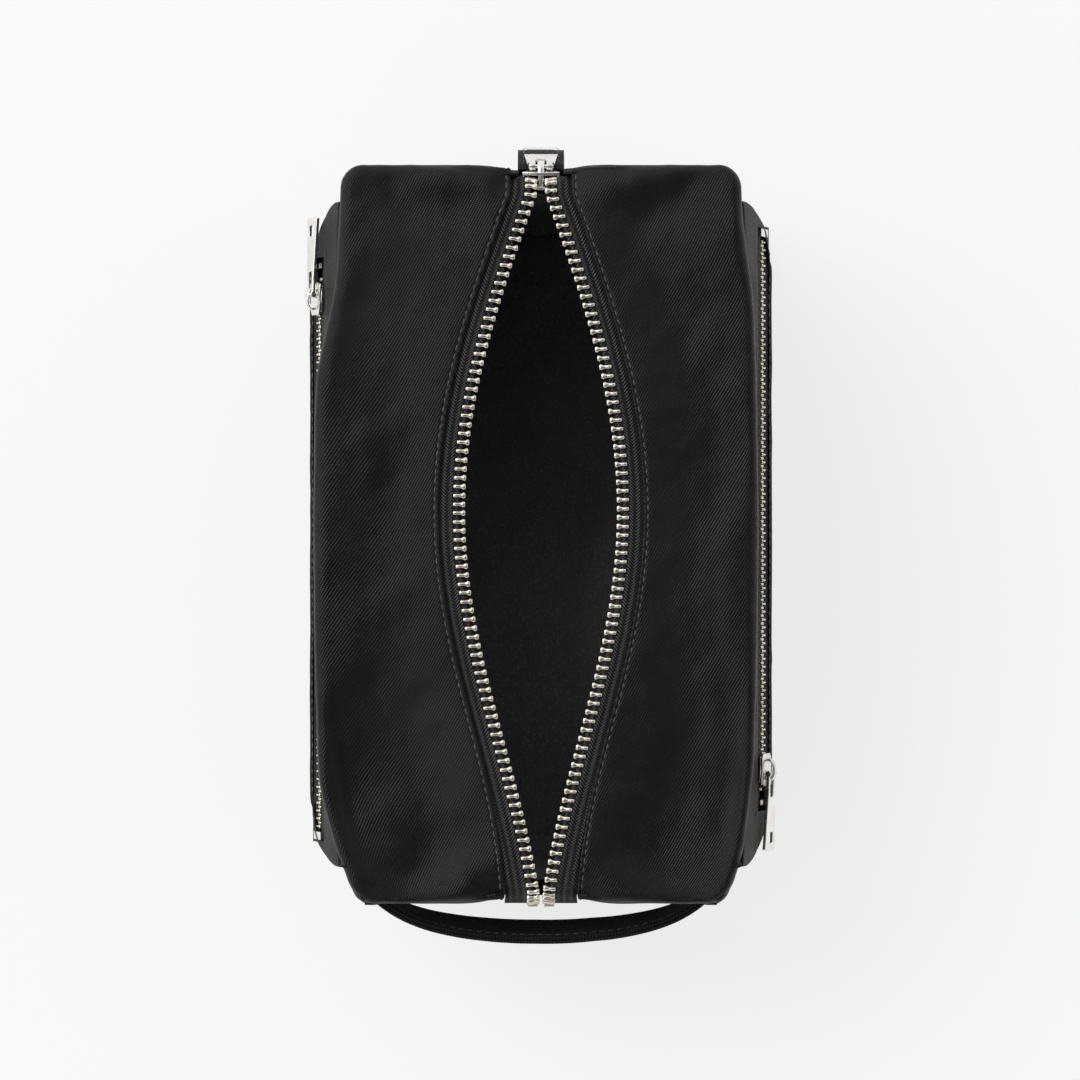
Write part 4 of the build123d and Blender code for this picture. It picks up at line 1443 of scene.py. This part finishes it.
def smallTips(y):
    ahead = pocket["sliderY"] - y
    if ahead < -1.5:
        return -smallTooth["interlock"]
    if ahead < 3:
        travel = smallTooth["parted"] + smallTooth["interlock"]
        return -smallTooth["interlock"] + travel * (ahead + 1.5) / 4.5
    return smallTooth["parted"]


def makePocketZip(side):
    slopeUp = put(side, (math.sin(pocket["slope"]), 0, math.cos(pocket["slope"])))
    for row, way in (("lower", 1), ("upper", -1)):
        ys = spread(pocket["chainFar"] + 2, pocket["chainNear"] - 2, 1.8)
        points, uvs = [], []
        for y in ys:
            inner, edge = smallTips(y) + 1.5, smallTooth["tapeEdge"]
            for k in range(5):
                across = inner + (edge - inner) * k / 4
                points.append(put(side, onSlope(y, way * across)))
                uvs.append((across * mm, y * mm))
        piece = linkMesh("pocketTape_" + side + "_" + row, points, gridFaces(len(ys), 5, flip=way > 0), uvs)
        thicken(dress(piece, zipTape), smallTooth["tape"], 0.0)
        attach(piece, "bag")
        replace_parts(piece, "pocket_tape_" + row + "_" + side)
        down = put(side, (way * math.cos(pocket["slope"]), 0, -way * math.sin(pocket["slope"])))
        places = []
        for i in range(int((pocket["chainFar"] - pocket["chainNear"] - 6) / smallTooth["pitch"])):
            y = pocket["chainFar"] - 3 - (i + (0.0 if way > 0 else 0.5)) * smallTooth["pitch"]
            places.append((put(side, onSlope(y, way * smallTips(y))), eulerOf(down, slopeUp), 0.0))
        size = (smallTooth["length"], smallTooth["width"], smallTooth["height"])
        piece = setAlong("pocketTeeth_" + side + "_" + row, toothPattern, places, size, warmNickel, 0.02, 30)
        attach(piece, "bag")
        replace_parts(piece, "pocket_teeth_" + row + "_" + side)


for side in ("right", "left"):
    makePocketPanel(side)
    makeFacing(side)
    makePocketZip(side)
print("pockets made")


# floor, light and camera

studio = {
    "floorHalf": 4,
    "floorTone": 0.2,
    "floorGlow": 0.755,
    "sky": 0.98,
    "skyLow": (0.95, 0.95, 0.95, 1),
    "skyOverhead": (0.12, 0.12, 0.125, 1),  # dark, so flat cloth stays black and folds catch the light
    "skyTilt": (0.24, -0.36, 0.9),  # brighter towards the far left
    "sun": 1.25,
    "sunSpread": math.radians(36),
    "sunFrom": (-0.7, 0.5, 1.0),
    "panel": 0.9,
    "panelAt": (-0.9, 0.35, 0.75),
    "panelSize": 0.5,
}
view = {"eye": (-0.0003, -0.0018, 1.225), "lens": 120, "sensor": 36}


def makeFloor():
    mesh = bpy.data.meshes.new("floor")
    half = studio["floorHalf"]
    corners = [(-half, -half, 0), (half, -half, 0), (half, half, 0), (-half, half, 0)]
    mesh.from_pydata(corners, [], [(0, 1, 2, 3)])
    floor = newObject("floor", mesh)
    paint = bpy.data.materials.new("floorPaint")
    paint.use_nodes = True
    shader = paint.node_tree.nodes["Principled BSDF"]
    shader.inputs["Base Color"].default_value = (*[studio["floorTone"]] * 3, 1)
    shader.inputs["Roughness"].default_value = 0.9
    shader.inputs["Emission Color"].default_value = (1, 1, 1, 1)
    shader.inputs["Emission Strength"].default_value = studio["floorGlow"]
    mesh.materials.append(paint)


def areaLight(name, place, power, size):
    data = bpy.data.lights.new(name, "AREA")
    data.energy, data.size = power, size
    lamp = newObject(name, data)
    lamp.location = place
    lamp.rotation_euler = (Vector((0, 0, 0.06)) - Vector(place)).to_track_quat("-Z", "Y").to_euler()


def softSun():
    data = bpy.data.lights.new("softSun", "SUN")
    data.energy, data.angle = studio["sun"], studio["sunSpread"]
    lamp = newObject("softSun", data)
    lamp.rotation_euler = (-Vector(studio["sunFrom"])).to_track_quat("-Z", "Y").to_euler()


def makeSky():
    world = bpy.data.worlds.new("paleSky")
    world.use_nodes = True
    nodes, links = world.node_tree.nodes, world.node_tree.links
    direction = nodes.new("ShaderNodeTexCoord")
    shade = nodes.new("ShaderNodeValToRGB")
    tilt = nodes.new("ShaderNodeVectorMath")
    tilt.operation = "DOT_PRODUCT"
    tilt.inputs[1].default_value = studio["skyTilt"]
    links.new(direction.outputs["Generated"], tilt.inputs[0])
    links.new(tilt.outputs["Value"], shade.inputs[0])
    ends = shade.color_ramp.elements
    ends[0].position, ends[1].position = 0.45, 0.97
    ends[0].color, ends[1].color = studio["skyLow"], studio["skyOverhead"]
    links.new(shade.outputs[0], nodes["Background"].inputs[0])
    nodes["Background"].inputs[1].default_value = studio["sky"]
    bpy.context.scene.world = world


def makeCamera():
    lens = bpy.data.cameras.new("camera")
    lens.lens, lens.sensor_width = view["lens"], view["sensor"]
    lens.clip_start, lens.clip_end = 0.01, 50
    eye = newObject("camera", lens)
    eye.location = view["eye"]
    bpy.context.scene.camera = eye


makeFloor()
softSun()
areaLight("sidePanel", studio["panelAt"], studio["panel"], studio["panelSize"])
makeSky()
makeCamera()
bpy.context.scene.view_settings.view_transform = "Standard"
print("studio made")
